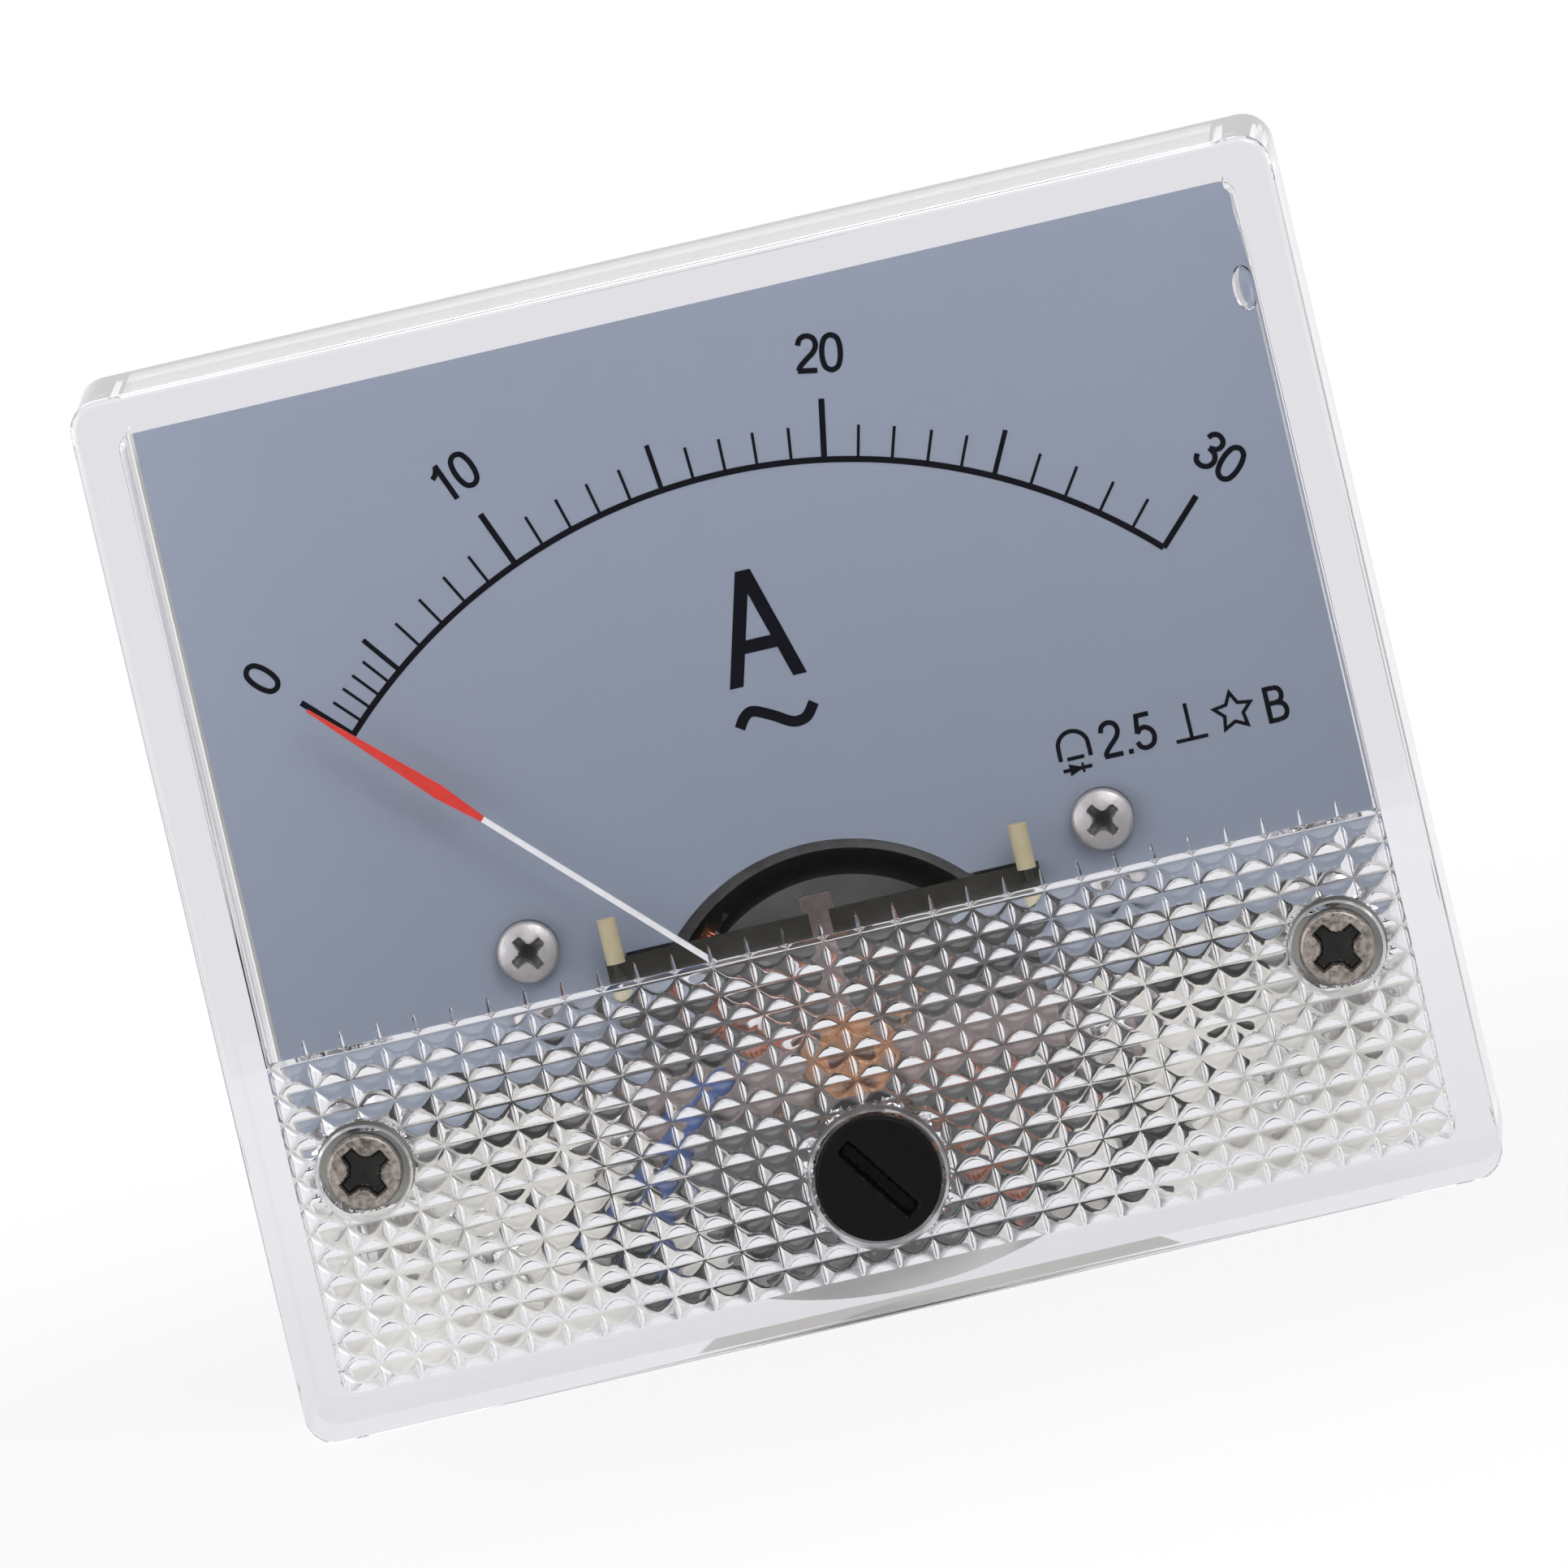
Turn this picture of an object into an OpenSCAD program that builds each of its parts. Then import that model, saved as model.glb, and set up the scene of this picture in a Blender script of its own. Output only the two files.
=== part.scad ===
// Analog panel ammeter with a moving-coil movement and a zero adjuster.
// Frame: +Z up, the face looks along -Y, and the panel's front surface is the plane y = 0.
// The origin is the point where the barrel's axis meets that plane.

/* [Case] */
// Width of the face
face_w = 64; // [62:0.5:80]
// Height of the face
face_h = 56; // [56:0.5:70]
// Distance from the middle of the face down to the barrel's axis
face_drop = 3.5; // [3.2:0.1:3.8]
// Depth of the clear cover in front of the panel
cover_depth = 12.5; // [12.3:0.1:16]
// Side wall of the cover
cover_wall = 2.2; // [1.6:0.1:2.3]
// Thickness of the window
window_t = 2.0; // [1.8:0.1:2.2]
// Outside corner radius of the cover
corner_r = 1.6; // [1:0.1:5]
// Inside corner radius of the cover
inner_r = 0.8; // [0.4:0.1:2.5]
// Thickness of the base plate
base_t = 2.0; // [1.8:0.1:2.2]
// Outside diameter of the barrel
barrel_d = 48.5; // [48.2:0.1:48.8]
// Wall of the barrel
barrel_wall = 1.2; // [1:0.1:1.3]
// Depth of the barrel behind the panel
barrel_len = 30; // [29.5:0.5:40]
// Thickness of the barrel's end wall
end_wall = 2.0; // [1.5:0.1:2.5]

/* [Panel fixing] */
// Distance between the two mounting screws
screw_span = 52; // [51:0.1:53]
// Height of the mounting screws below the barrel's axis
screw_drop = 11; // [9:0.1:12]
// Thread diameter of the mounting screws
screw_d = 2.5; // [2:0.1:3]
// Head diameter of the mounting screws
screw_head_d = 4.0; // [3.6:0.1:4.4]
// Reach of the mounting screws behind the panel
screw_reach = 14; // [10:0.5:20]
// Neck diameter of the captive mounting screws
screw_neck_d = 2.0; // [1.6:0.1:2.2]

/* [Dial] */
// Height of the pivot axis below the barrel's axis
pivot_drop = 11; // [10.8:0.1:11.2]
// Distance from the window's front to the dial
dial_depth = 8.5; // [8.3:0.1:8.6]
// Thickness of the dial plate
dial_t = 0.5; // [0.3:0.1:0.6]
// Gap between the dial and the cover's wall
dial_gap = 0.5; // [0.3:0.1:1]
// Radius of the arch over the movement
arch_r = 10.8; // [10.6:0.1:11.2]
// Half distance between the dial screws
dial_screw_x = 15.4; // [14.8:0.1:17]
// Height of the dial screws above the pivot axis
dial_screw_rise = 8.6; // [8:0.1:10]

/* [Pointer] */
// Radius of the pointer's tip
pointer_r = 33.5; // [30:0.5:34]
// Half of the scale's sweep
sweep = 45; // [40:1:46]
// Width of the pointer's lance
lance_w = 0.3; // [0.2:0.05:0.4]
// Widest width of the red spear
spear_w = 0.75; // [0.5:0.05:1]
// Radius at which the spear starts
spear_r = 22.7; // [20:0.1:25]

/* [Movement] */
// Radius of the core magnet
magnet_r = 8.7; // [7:0.1:8.8]
// Length of the core magnet
magnet_len = 8.6; // [8:0.1:9]
// Running gap on each side of the coil
coil_gap = 0.25; // [0.2:0.01:0.3]
// Thickness of the coil's frame
former_t = 0.2; // [0.15:0.05:0.25]
// Depth of the copper winding
winding_t = 0.6; // [0.4:0.05:0.65]
// Width of the coil's frame
former_w = 2.2; // [1.8:0.1:2.4]
// Wall of the yoke ring
yoke_wall = 1.0; // [0.8:0.1:1.05]
// Diameter of the staff
staff_d = 0.9; // [0.8:0.05:1]
// Thread diameter of the jewel screws
jewel_screw_d = 2.5; // [2.3:0.1:2.8]

/* [Zero adjuster] */
// Distance from the pivot axis down to the adjuster's axis
adjuster_drop = 6.35; // [6.1:0.05:6.4]
// Head diameter of the adjuster
adjuster_d = 6.6; // [6:0.1:6.8]
// Offset of the adjuster's pin from its axis
crank = 0.35; // [0.2:0.05:0.5]
// Diameter of the adjuster's pin
crank_pin_d = 0.9; // [0.8:0.05:1]
// Slope of the adjuster's slot below the horizontal
slot_angle = 55; // [0:1:90]

/* [Terminals] */
// Half distance between the terminal studs
stud_x = 12; // [11:0.1:14]
// Thread diameter of the terminal studs
stud_d = 4; // [3:0.1:5]
// Reach of the terminal studs behind the barrel
stud_reach = 15; // [12:0.5:20]

/* [Hidden] */
$fn = 96;

// clearances
fit = 0.02; // radial gap of a thread or a pressed piece
slip = 0.1; // radial gap of a screw in its hole
run = 0.05; // radial gap of a turning fit
seat_gap = 0.1; // axial gap beside a turning piece
eps = 0.01; // overlap of a cut past a face

// case
face_z = face_drop;
inner_w = face_w - 2 * cover_wall;
inner_h = face_h - 2 * cover_wall;
base_gap = 0.2;
window_back = window_t - cover_depth;
barrel_r = barrel_d / 2;
bore_r = barrel_r - barrel_wall;
barrel_end = barrel_len - end_wall;
mount_x = screw_span / 2;
mount_z = -screw_drop;
boss_d = screw_head_d + 2.0;
head_pocket_d = screw_head_d + 0.8;
head_t = 1.6;
head_sink = 0.2;
head_seat = head_sink + head_t - cover_depth;
recess_w = 0.7;
recess_depth = 1.0;
neck_end = 0.1;

// dial
pivot_z = -pivot_drop;
dial_front = dial_depth - cover_depth;
dial_back = dial_front + dial_t;
dial_side_rise = 3.1;
dial_mid_rise = 7.35;
dial_mid_x = 10.5;
dial_screw_z = pivot_z + dial_screw_rise;
dial_screw_d = 2;
dial_head_d = 3.3;
dial_head_t = 1.2;
dial_screw_len = 2.8;

// moving element, from front to back
magnet_front = -base_t;
magnet_back = magnet_front + magnet_len;
end_gap = 0.4;
former_in = magnet_r + coil_gap;
former_out = former_in + former_t;
winding_out = former_out + winding_t;
former_lip = 0.1;
winding_w = former_w - 2 * former_lip;
former_front = magnet_front - end_gap - former_t;
former_back = magnet_back + end_gap + former_t;
winding_front = former_front - winding_t;
winding_back = former_back + winding_t;
yoke_in = sqrt(winding_out * winding_out + winding_w * winding_w / 4) + coil_gap + 0.05;
yoke_out = yoke_in + yoke_wall;
disc_d = 2.6;
disc_t = 0.3;
tip_d = 0.5;
tip_len = 0.4;
tip_point_d = 0.04;
tip_neck = 1.1;
cross_y = winding_front - 1.95;
cross_hub_d = 2.2;
cross_hub_t = 0.9;
arm_d = 0.5;
arm_r = 5.2;
weight_d = 1.3;
weight_len = 1.2;
weight_r = 3.9;
tail_weight_d = 1.5;
tail_weight_len = 2.4;
pointer_t = 0.25;
pointer_back = cross_y - cross_hub_t / 2;
pointer_front = pointer_back - pointer_t;
spear_wide_r = 25.4;
spear_tip_w = 0.12;
front_spring_y = pointer_front - 0.5;
rear_spring_y = winding_back + 1.05;
spring_t = 0.1;
spring_h = 0.3;
collet_r = 0.8;
spring_in = 1.0;
spring_out = 3.1;
spring_turns = 4;
spring_steps = 96;
anchor_foot = 3;

// front bridge, jewel screws and zero lever
bridge_t = 0.9;
bridge_back = front_spring_y - spring_h / 2 - 0.45;
bridge_front = bridge_back - bridge_t;
bridge_h = 3.0;
bridge_leg_x = 10.2;
bridge_leg_t = 0.8;
bridge_foot_t = 0.8;
bridge_foot_x = 14.6;
clamp_x = 12.9;
clamp_d = 1.6;
clamp_head_d = 2.8;
clamp_head_t = 1.0;
screw_nose = 0.2;
jewel_bore_d = 1.5;
jewel_bore_len = 1.5;
jewel_t = 0.7;
jewel_cup_d = 0.75;
jewel_cup_t = 0.4;
tip_gap = 0.1;
jewel_slot_w = 0.4;
jewel_slot_t = 0.5;
front_screw_back = bridge_back + screw_nose;
front_screw_len = 3.0;
front_tip = front_screw_back - jewel_bore_len + jewel_t - jewel_cup_t + tip_gap;
lever_t = 0.4;
lever_back = bridge_front - seat_gap;
lever_front = lever_back - lever_t;
lever_ring_d = jewel_screw_d + 2.2;
lever_arm_w = 1.1;
lever_top_r = 8.6;
lever_top_w = 1.7;
lever_top_h = 0.9;
lever_fork_w = 2.6;
lever_pin_r = adjuster_drop - crank;
fork_slot_w = crank_pin_d + 2 * run;
fork_slot_h = 1.8;
spring_tab_w = 0.8;
spring_tab_t = 0.4;
locknut_t = 0.65;
locknut_af = jewel_screw_d + 1.7;

// magnet holder and rear bearing
holder_rim_back = rear_spring_y + spring_h / 2 + 1.1;
holder_t = 1.5;
holder_back = holder_rim_back + holder_t;
pad_half = 24;
rear_screw_front = holder_rim_back - screw_nose;
rear_screw_len = 3.6;
rear_tip = rear_screw_front + jewel_bore_len - jewel_t + jewel_cup_t - tip_gap;

// movement frame
frame_front = dial_back;
frame_bore = yoke_out - 0.2;
frame_r = frame_bore + 2.1;
frame_cut = 7.5;
frame_screw_x = 21;
frame_screw_drop = 4.5;
frame_screw_z = pivot_z - frame_screw_drop;
frame_screw_d = 2;
frame_screw_inset = 0.3;
frame_screw_len = -frame_front - frame_screw_inset;
frame_head_d = 3.6;
frame_head_t = 1.2;
frame_arm_w = 4.8;
ear_d = 4.4;

// pointer stops
stop_x = 11.0;
stop_y = (pointer_front + pointer_back) / 2;
stop_top_rise = 9.5;
sleeve_d = 1.0;
sleeve_len = 2.4;
stop_wire_d = 0.5;
strip_front = dial_front - 0.5;
strip_back = dial_front - 0.05;
strip_low = pivot_z + 5.8;
strip_high = pivot_z + 7.2;
strip_end = 11.6;
strip_tab_in = 8.9;
strip_tab_out = 10.3;
strip_tab_trim = 0.2;
stop_foot_w = 0.8;
stop_foot_h = 0.6;
stop_wire_bare = 0.1;

// zero adjuster
adjuster_z = pivot_z - adjuster_drop;
adjuster_pocket_d = adjuster_d + 0.5;
adjuster_boss_d = adjuster_d + 1.4;
adjuster_boss_back = window_back + 0.6;
adjuster_sink = 0.15;
adjuster_head_t = 1.2;
adjuster_seat = adjuster_sink + adjuster_head_t - cover_depth;
adjuster_neck_d = 4.0;
adjuster_collar_d = 4.9;
adjuster_collar_t = 0.6;
adjuster_collar_front = adjuster_boss_back + seat_gap;
adjuster_end = adjuster_collar_front + adjuster_collar_t;
adjuster_split = 0.5;
adjuster_split_low = -0.65;
adjuster_slot_w = 0.8;
adjuster_slot_len = 4.9;
adjuster_slot_depth = 0.7;

// terminals, transformer and rectifier board
stud_head_af = 7;
stud_head_t = 1.5;
link_t = 0.8;
link_w = 3.0;
lug_d = 8;
link_leg_gap = 0.4;
link_leg_x = stud_x - stud_head_af / sqrt(3) - link_leg_gap - link_t / 2;
terminal_boss_t = 1.0;
terminal_boss_d = 11;
terminal_washer_d = 8.5;
terminal_washer_t = 0.6;
terminal_nut_af = 7;
terminal_nut_t = 2.6;
lock_washer_d = 7.2;
lock_washer_t = 0.9;
winding_r = 6.5;
winding_hole_r = 2.3;
winding_x = 3.9;
core_skin = 0.9;
transformer_gap = 0.3;
transformer_y = barrel_end - winding_r - transformer_gap;
board_t = 1.2;
board_post = 3.8;
board_screw_inset = 0.6;
board_back = barrel_end - board_post;
board_front = board_back - board_t;
board_x = 9.8;
board_low = 9.2;
board_high = 19.8;
post_x = 7.2;
post_z = 17;
post_d = 4;
board_screw_d = 2;
board_head_d = 3.6;
board_head_t = 1.2;
diode_d = 1.8;
diode_len = 4;
diode_z = 16.0;
diode_pitch = 2.8;
diode_reach = 1.4;
resistor_d = 2.2;
resistor_len = 6;
resistor_z = 11.0;
resistor_reach = 1.4;
part_lift = 0.15;
part_lead_d = 0.5;

// leads
lead_r = 0.5;
fine_lead_r = 0.25;
lead_sides = 8;
lead_steps = 4;
lead_lift = 0.15;
blue_end = [-8.6, board_front - lead_lift, 13.2];
blue_route = [[-6.4, bridge_front - lead_r - lead_lift, -10.2],
    [-8.6, bridge_front - lead_r - lead_lift, -11.9],
    [-10.6, -8.2, -14.2], [-11.7, -6.8, -16.2], [-12.2, -4, -17.6], [-12.4, 0, -18.2],
    [-12.8, 6, -17.8], [-14.6, 11, -15.5], [-16.5, 15, -9], [-15.8, 18, 1], [-12.6, 19.8, 9],
    [-9.2, 20.8, 12.4], blue_end];
red_end = [8.6, board_front - lead_lift, 13.2];
red_route = [[4.4, holder_back + lead_r + lead_lift, -8], [7.6, holder_back + lead_r + 0.3, -6],
    [11.8, 14.6, -2], [14.6, 17, 4], [13, 19.2, 9.4], [9.4, 20.6, 12.4], red_end];
winding_route = [[2.4, transformer_y - 1, winding_r + fine_lead_r], [3.2, transformer_y - 1.3, 7.4],
    [4.8, transformer_y - 1.2, 9], [5.8, transformer_y - 0.2, 10], [5.8, board_front - lead_lift, 10.3]];

// ---- shapes ----

// outline with round corners, centred on the origin
module round_rect(w, h, r) {
    square([w - 2 * r, h], center = true);
    square([w, h - 2 * r], center = true);
    for (x = [r - w / 2, w / 2 - r])
        for (z = [r - h / 2, h / 2 - r])
            translate([x, z])
                circle(r);
}

// straight bar with round ends between two points
module link_bar(a, b, w) {
    span = b - a;
    for (p = [a, b])
        translate(p)
            circle(d = w);
    translate((a + b) / 2)
        rotate(atan2(span[1], span[0]))
            square([norm(span), w - 2 * eps], center = true);
}

// an (x, z) outline filled from y0 to y1
module slab(y0, y1) {
    translate([0, y1, 0])
        rotate([90, 0, 0])
            linear_extrude(y1 - y0)
                children();
}

// a round bar along Y from y0 to y1
module rod(d, y0, y1, x = 0, z = 0) {
    translate([x, y0, z])
        rotate([-90, 0, 0])
            cylinder(d = d, h = y1 - y0);
}

// a cone along Y, d0 at y0 and d1 at y1
module cone_rod(d0, d1, y0, y1, x = 0, z = 0) {
    translate([x, y0, z])
        rotate([-90, 0, 0])
            cylinder(d1 = d0, d2 = d1, h = y1 - y0);
}

// a hexagonal bar along Y with af across its flats
module hex_rod(af, y0, y1, x, z) {
    translate([x, y0, z])
        rotate([-90, 0, 0])
            cylinder(d = 2 * af / sqrt(3), h = y1 - y0, $fn = 6);
}

// a cross recess cut back from y = front
module cross_recess(w, span, depth, front, x, z) {
    for (turn = [45, 135])
        translate([x, front + depth / 2 - eps, z])
            rotate([0, turn, 0])
                cube([span, depth, w], center = true);
}

// a pan-head screw whose head sits on y = seat
module screw(d, head_d, head_h, len, seat, x, z) {
    difference() {
        union() {
            rod(head_d, seat - head_h, seat, x, z);
            rod(d, seat, seat + len, x, z);
        }
        cross_recess(0.22 * head_d, 0.62 * head_d, 0.6 * head_h, seat - head_h, x, z);
    }
}

// both sides of the meter
module pair(x) {
    for (side = [-x, x])
        translate([side, 0, 0])
            children();
}

// the pivot's frame: local +Z turned by angle about the pivot axis
module at_pivot(angle = 0) {
    translate([0, 0, pivot_z])
        rotate([0, angle, 0])
            children();
}

// flat spiral strip, its outer end straight above the axis
module spiral_strip(y) {
    edge = function (side) [for (i = [0 : spring_steps])
        let (turn = 360 * spring_turns * i / spring_steps,
            r = spring_in + (spring_out - spring_in) * i / spring_steps + side * spring_t / 2)
        [r * sin(turn), r * cos(turn)]];
    inner = edge(-1);
    at_pivot()
        difference() {
            union() {
                slab(y - spring_h / 2, y + spring_h / 2)
                    polygon(concat(edge(1), [for (i = [spring_steps : -1 : 0]) inner[i]]));
                rod(2 * collet_r, y - spring_h / 2, y + spring_h / 2);
                translate([-spring_t, y - spring_h / 2, 0])
                    cube([2 * spring_t, spring_h, spring_in + spring_t]);
            }
            rod(staff_d + 2 * fit, y - spring_h, y + spring_h);
        }
}

function unit(v) = v / norm(v);
function turned(u, t) = unit(u - (u * t) * t);

// a smooth line through the route's points
function spline(p, i, s) =
    let (a = p[max(i - 1, 0)], b = p[i], c = p[i + 1], d = p[min(i + 2, len(p) - 1)])
    b + s * (c - a) / 2 + s * s * (a - 2.5 * b + 2 * c - d / 2)
        + s * s * s * (-a / 2 + 1.5 * b - 1.5 * c + d / 2);
function smooth(p, steps) = concat(
    [for (i = [0 : len(p) - 2]) for (k = [0 : steps - 1]) spline(p, i, k / steps)],
    [p[len(p) - 1]]);

// a round lead of radius r along a route
module lead(route, r) {
    line = smooth(route, lead_steps);
    last = len(line) - 1;
    way = [for (i = [0 : last]) unit(line[min(i + 1, last)] - line[max(i - 1, 0)])];
    start = turned(abs(way[0][2]) < 0.9 ? [0, 0, 1] : [1, 0, 0], way[0]);
    side = [for (i = 0, u = start; i <= last; i = i + 1, u = turned(u, way[min(i, last)])) u];
    rings = [for (i = [0 : last]) for (k = [0 : lead_sides - 1])
        let (a = 360 * k / lead_sides, v = cross(way[i], side[i]))
        line[i] + r * (cos(a) * side[i] + sin(a) * v)];
    walls = [for (i = [0 : last - 1]) for (k = [0 : lead_sides - 1])
        let (a = i * lead_sides, b = a + lead_sides, n = (k + 1) % lead_sides)
        each [[a + k, b + k, b + n], [a + k, b + n, a + n]]];
    ends = [[for (k = [0 : lead_sides - 1]) k],
        [for (k = [lead_sides - 1 : -1 : 0]) last * lead_sides + k]];
    polyhedron(points = rings, faces = concat(walls, ends));
}

// ---- case ----

module front_cover() {
    color([0.9, 0.92, 0.95, 0.4])
        difference() {
            union() {
                difference() {
                    slab(-cover_depth, 0)
                        translate([0, face_z])
                            round_rect(face_w, face_h, corner_r);
                    slab(window_back, eps)
                        translate([0, face_z])
                            round_rect(inner_w, inner_h, inner_r);
                }
                pair(mount_x)
                    rod(boss_d, window_back - eps, -base_t, 0, mount_z);
                rod(adjuster_boss_d, window_back - eps, adjuster_boss_back, 0, adjuster_z);
            }
            pair(mount_x) {
                rod(head_pocket_d, -cover_depth - eps, head_seat, 0, mount_z);
                rod(screw_d + 2 * slip, head_seat - eps, -base_t + eps, 0, mount_z);
            }
            rod(adjuster_pocket_d, -cover_depth - eps, adjuster_seat + seat_gap, 0, adjuster_z);
            rod(adjuster_neck_d + 2 * run, adjuster_seat, adjuster_boss_back + eps, 0, adjuster_z);
        }
}

module base() {
    color([0.87, 0.85, 0.76])
        difference() {
            union() {
                slab(-base_t, 0)
                    translate([0, face_z])
                        round_rect(inner_w - 2 * base_gap, inner_h - 2 * base_gap, inner_r);
                rod(barrel_d, 0, barrel_len);
                pair(stud_x)
                    rod(terminal_boss_d, barrel_len - eps, barrel_len + terminal_boss_t);
            }
            difference() {
                rod(2 * bore_r, -base_t - eps, barrel_end);
                pair(post_x)
                    rod(post_d, board_back, barrel_end + eps, 0, post_z);
            }
            pair(post_x)
                rod(board_screw_d + 2 * fit, board_back - eps, barrel_end, 0, post_z);
            pair(stud_x)
                rod(stud_d + 2 * slip, barrel_end - eps, barrel_len + terminal_boss_t + eps);
            pair(mount_x)
                rod(screw_d + 2 * fit, -base_t - eps, eps, 0, mount_z);
            pair(frame_screw_x)
                rod(frame_screw_d + 2 * fit, -base_t - eps, frame_front + frame_screw_len + slip,
                    0, frame_screw_z);
        }
}

// captive screws: the thread has passed the tapped base and the neck turns in it
module mounting_screws() {
    color([0.52, 0.5, 0.47])
        pair(mount_x)
            difference() {
                union() {
                    rod(screw_head_d, head_seat - head_t, head_seat, 0, mount_z);
                    rod(screw_neck_d, head_seat, neck_end, 0, mount_z);
                    rod(screw_d, neck_end, screw_reach, 0, mount_z);
                }
                cross_recess(recess_w, 0.62 * screw_head_d, recess_depth, head_seat - head_t,
                    0, mount_z);
            }
}

// ---- dial ----

// half of the plate, cut away below for the movement
module dial_outline() {
    side_z = pivot_z + dial_side_rise;
    mid_z = pivot_z + dial_mid_rise;
    top_z = face_z + inner_h / 2 - dial_gap;
    half_w = inner_w / 2 - dial_gap;
    difference() {
        translate([-half_w, side_z])
            square([2 * half_w, top_z - side_z]);
        translate([-dial_mid_x, side_z - eps])
            square([2 * dial_mid_x, mid_z - side_z + eps]);
        translate([0, pivot_z])
            circle(arch_r);
        for (x = [-dial_screw_x, dial_screw_x])
            translate([x, dial_screw_z])
                circle(d = dial_screw_d + 2 * slip);
    }
}

module dial_plate() {
    color([0.54, 0.58, 0.65])
        slab(dial_front, dial_back)
            dial_outline();
}

module dial_screws() {
    color([0.72, 0.71, 0.69])
        pair(dial_screw_x)
            screw(dial_screw_d, dial_head_d, dial_head_t, dial_screw_len, dial_front, 0,
                dial_screw_z);
}

// ---- movement ----

module movement_frame() {
    ear = [dial_screw_x, dial_screw_rise];
    foot = [frame_screw_x, -frame_screw_drop];
    clamp = [clamp_x, 0];
    flip = function (p) [-p[0], p[1]];
    color([0.33, 0.33, 0.33])
        at_pivot()
            slab(frame_front, -base_t)
                difference() {
                    union() {
                        circle(frame_r);
                        link_bar(clamp, ear, ear_d);
                        link_bar(flip(clamp), flip(ear), ear_d);
                        link_bar(clamp, foot, frame_arm_w);
                        link_bar(flip(clamp), flip(foot), frame_arm_w);
                    }
                    circle(frame_bore);
                    translate([-frame_r, -frame_r - frame_cut])
                        square([2 * frame_r, frame_r]);
                    for (p = [ear, flip(ear)])
                        translate(p)
                            circle(d = dial_screw_d + 2 * fit);
                    for (p = [foot, flip(foot)])
                        translate(p)
                            circle(d = frame_screw_d + 2 * slip);
                    for (p = [clamp, flip(clamp)])
                        translate(p)
                            circle(d = clamp_d + 2 * slip);
                }
}

module frame_screws() {
    color([0.7, 0.7, 0.68])
        pair(frame_screw_x)
            screw(frame_screw_d, frame_head_d, frame_head_t, frame_screw_len, frame_front, 0,
                frame_screw_z);
}

module yoke_ring() {
    color([0.36, 0.36, 0.34])
        difference() {
            rod(2 * yoke_out, magnet_front, magnet_back, 0, pivot_z);
            rod(2 * yoke_in, magnet_front - eps, magnet_back + eps, 0, pivot_z);
        }
}

module core_magnet() {
    color([0.3, 0.31, 0.3])
        rod(2 * magnet_r, magnet_front, magnet_back, 0, pivot_z);
}

// end plate with a rim behind the yoke and two pads that grip the magnet
module magnet_holder() {
    color([0.6, 0.61, 0.62])
        difference() {
            union() {
                at_pivot()
                    slab(holder_rim_back, holder_back)
                        union() {
                            circle(yoke_out);
                            link_bar([-clamp_x, 0], [clamp_x, 0], frame_arm_w);
                        }
                difference() {
                    rod(2 * yoke_out, magnet_back, holder_rim_back + eps, 0, pivot_z);
                    rod(2 * yoke_in, magnet_back - eps, holder_rim_back, 0, pivot_z);
                }
                for (side = [90, -90])
                    at_pivot(side - pad_half)
                        translate([0, magnet_front, 0])
                            rotate([-90, 0, 0])
                                rotate([0, 0, -90])
                                    rotate_extrude(angle = 2 * pad_half)
                                        translate([magnet_r + fit, 0])
                                            square([yoke_in - magnet_r - 2 * fit,
                                                holder_rim_back - magnet_front + eps]);
            }
            rod(jewel_screw_d + 2 * fit, holder_rim_back - eps, holder_back + eps, 0, pivot_z);
            pair(clamp_x)
                rod(clamp_d + 2 * fit, holder_rim_back - eps, holder_back + eps, 0, pivot_z);
        }
}

module front_bridge() {
    color([0.62, 0.6, 0.55])
        difference() {
            at_pivot()
                union() {
                    slab(bridge_front, bridge_back)
                        union() {
                            square([2 * (bridge_leg_x + bridge_leg_t), bridge_h], center = true);
                            circle(d = jewel_screw_d + 3);
                        }
                    for (side = [-1, 1]) {
                        translate([side * (bridge_leg_x + bridge_leg_t / 2),
                                (bridge_front + frame_front) / 2, 0])
                            cube([bridge_leg_t, frame_front - bridge_front, bridge_h], center = true);
                        translate([side * (bridge_leg_x + bridge_foot_x) / 2,
                                frame_front - bridge_foot_t / 2, 0])
                            cube([bridge_foot_x - bridge_leg_x, bridge_foot_t, bridge_h],
                                center = true);
                    }
                }
            rod(jewel_screw_d + 2 * fit, bridge_front - eps, bridge_back + eps, 0, pivot_z);
            pair(clamp_x)
                rod(clamp_d + 2 * slip, frame_front - bridge_foot_t - eps, frame_front + eps,
                    0, pivot_z);
        }
}

module movement_screws() {
    seat = frame_front - bridge_foot_t;
    color([0.7, 0.7, 0.68])
        pair(clamp_x)
            screw(clamp_d, clamp_head_d, clamp_head_t, holder_back - seat, seat, 0, pivot_z);
}

// a slotted screw with a jewel bore at y = nose, running back along way
module jewel_screw(nose, len, way) {
    tail = nose + way * len;
    bore = nose + way * jewel_bore_len;
    color([0.8, 0.66, 0.35])
        difference() {
            rod(jewel_screw_d, min(nose, tail), max(nose, tail), 0, pivot_z);
            rod(jewel_bore_d, min(nose - way * eps, bore), max(nose - way * eps, bore), 0, pivot_z);
            translate([0, tail, pivot_z])
                cube([jewel_screw_d + 1, 2 * jewel_slot_t, jewel_slot_w], center = true);
        }
}

// a cup jewel at the bottom of a jewel bore, its cup towards the staff
module jewel(nose, way) {
    back = nose + way * jewel_bore_len;
    mouth = back - way * jewel_t;
    floor_y = mouth + way * jewel_cup_t;
    color([0.75, 0.15, 0.3])
        difference() {
            rod(jewel_bore_d - 2 * fit, min(mouth, back), max(mouth, back), 0, pivot_z);
            if (way > 0)
                cone_rod(jewel_cup_d, 0, mouth - eps, floor_y, 0, pivot_z);
            else
                cone_rod(0, jewel_cup_d, floor_y, mouth + eps, 0, pivot_z);
        }
}

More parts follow.
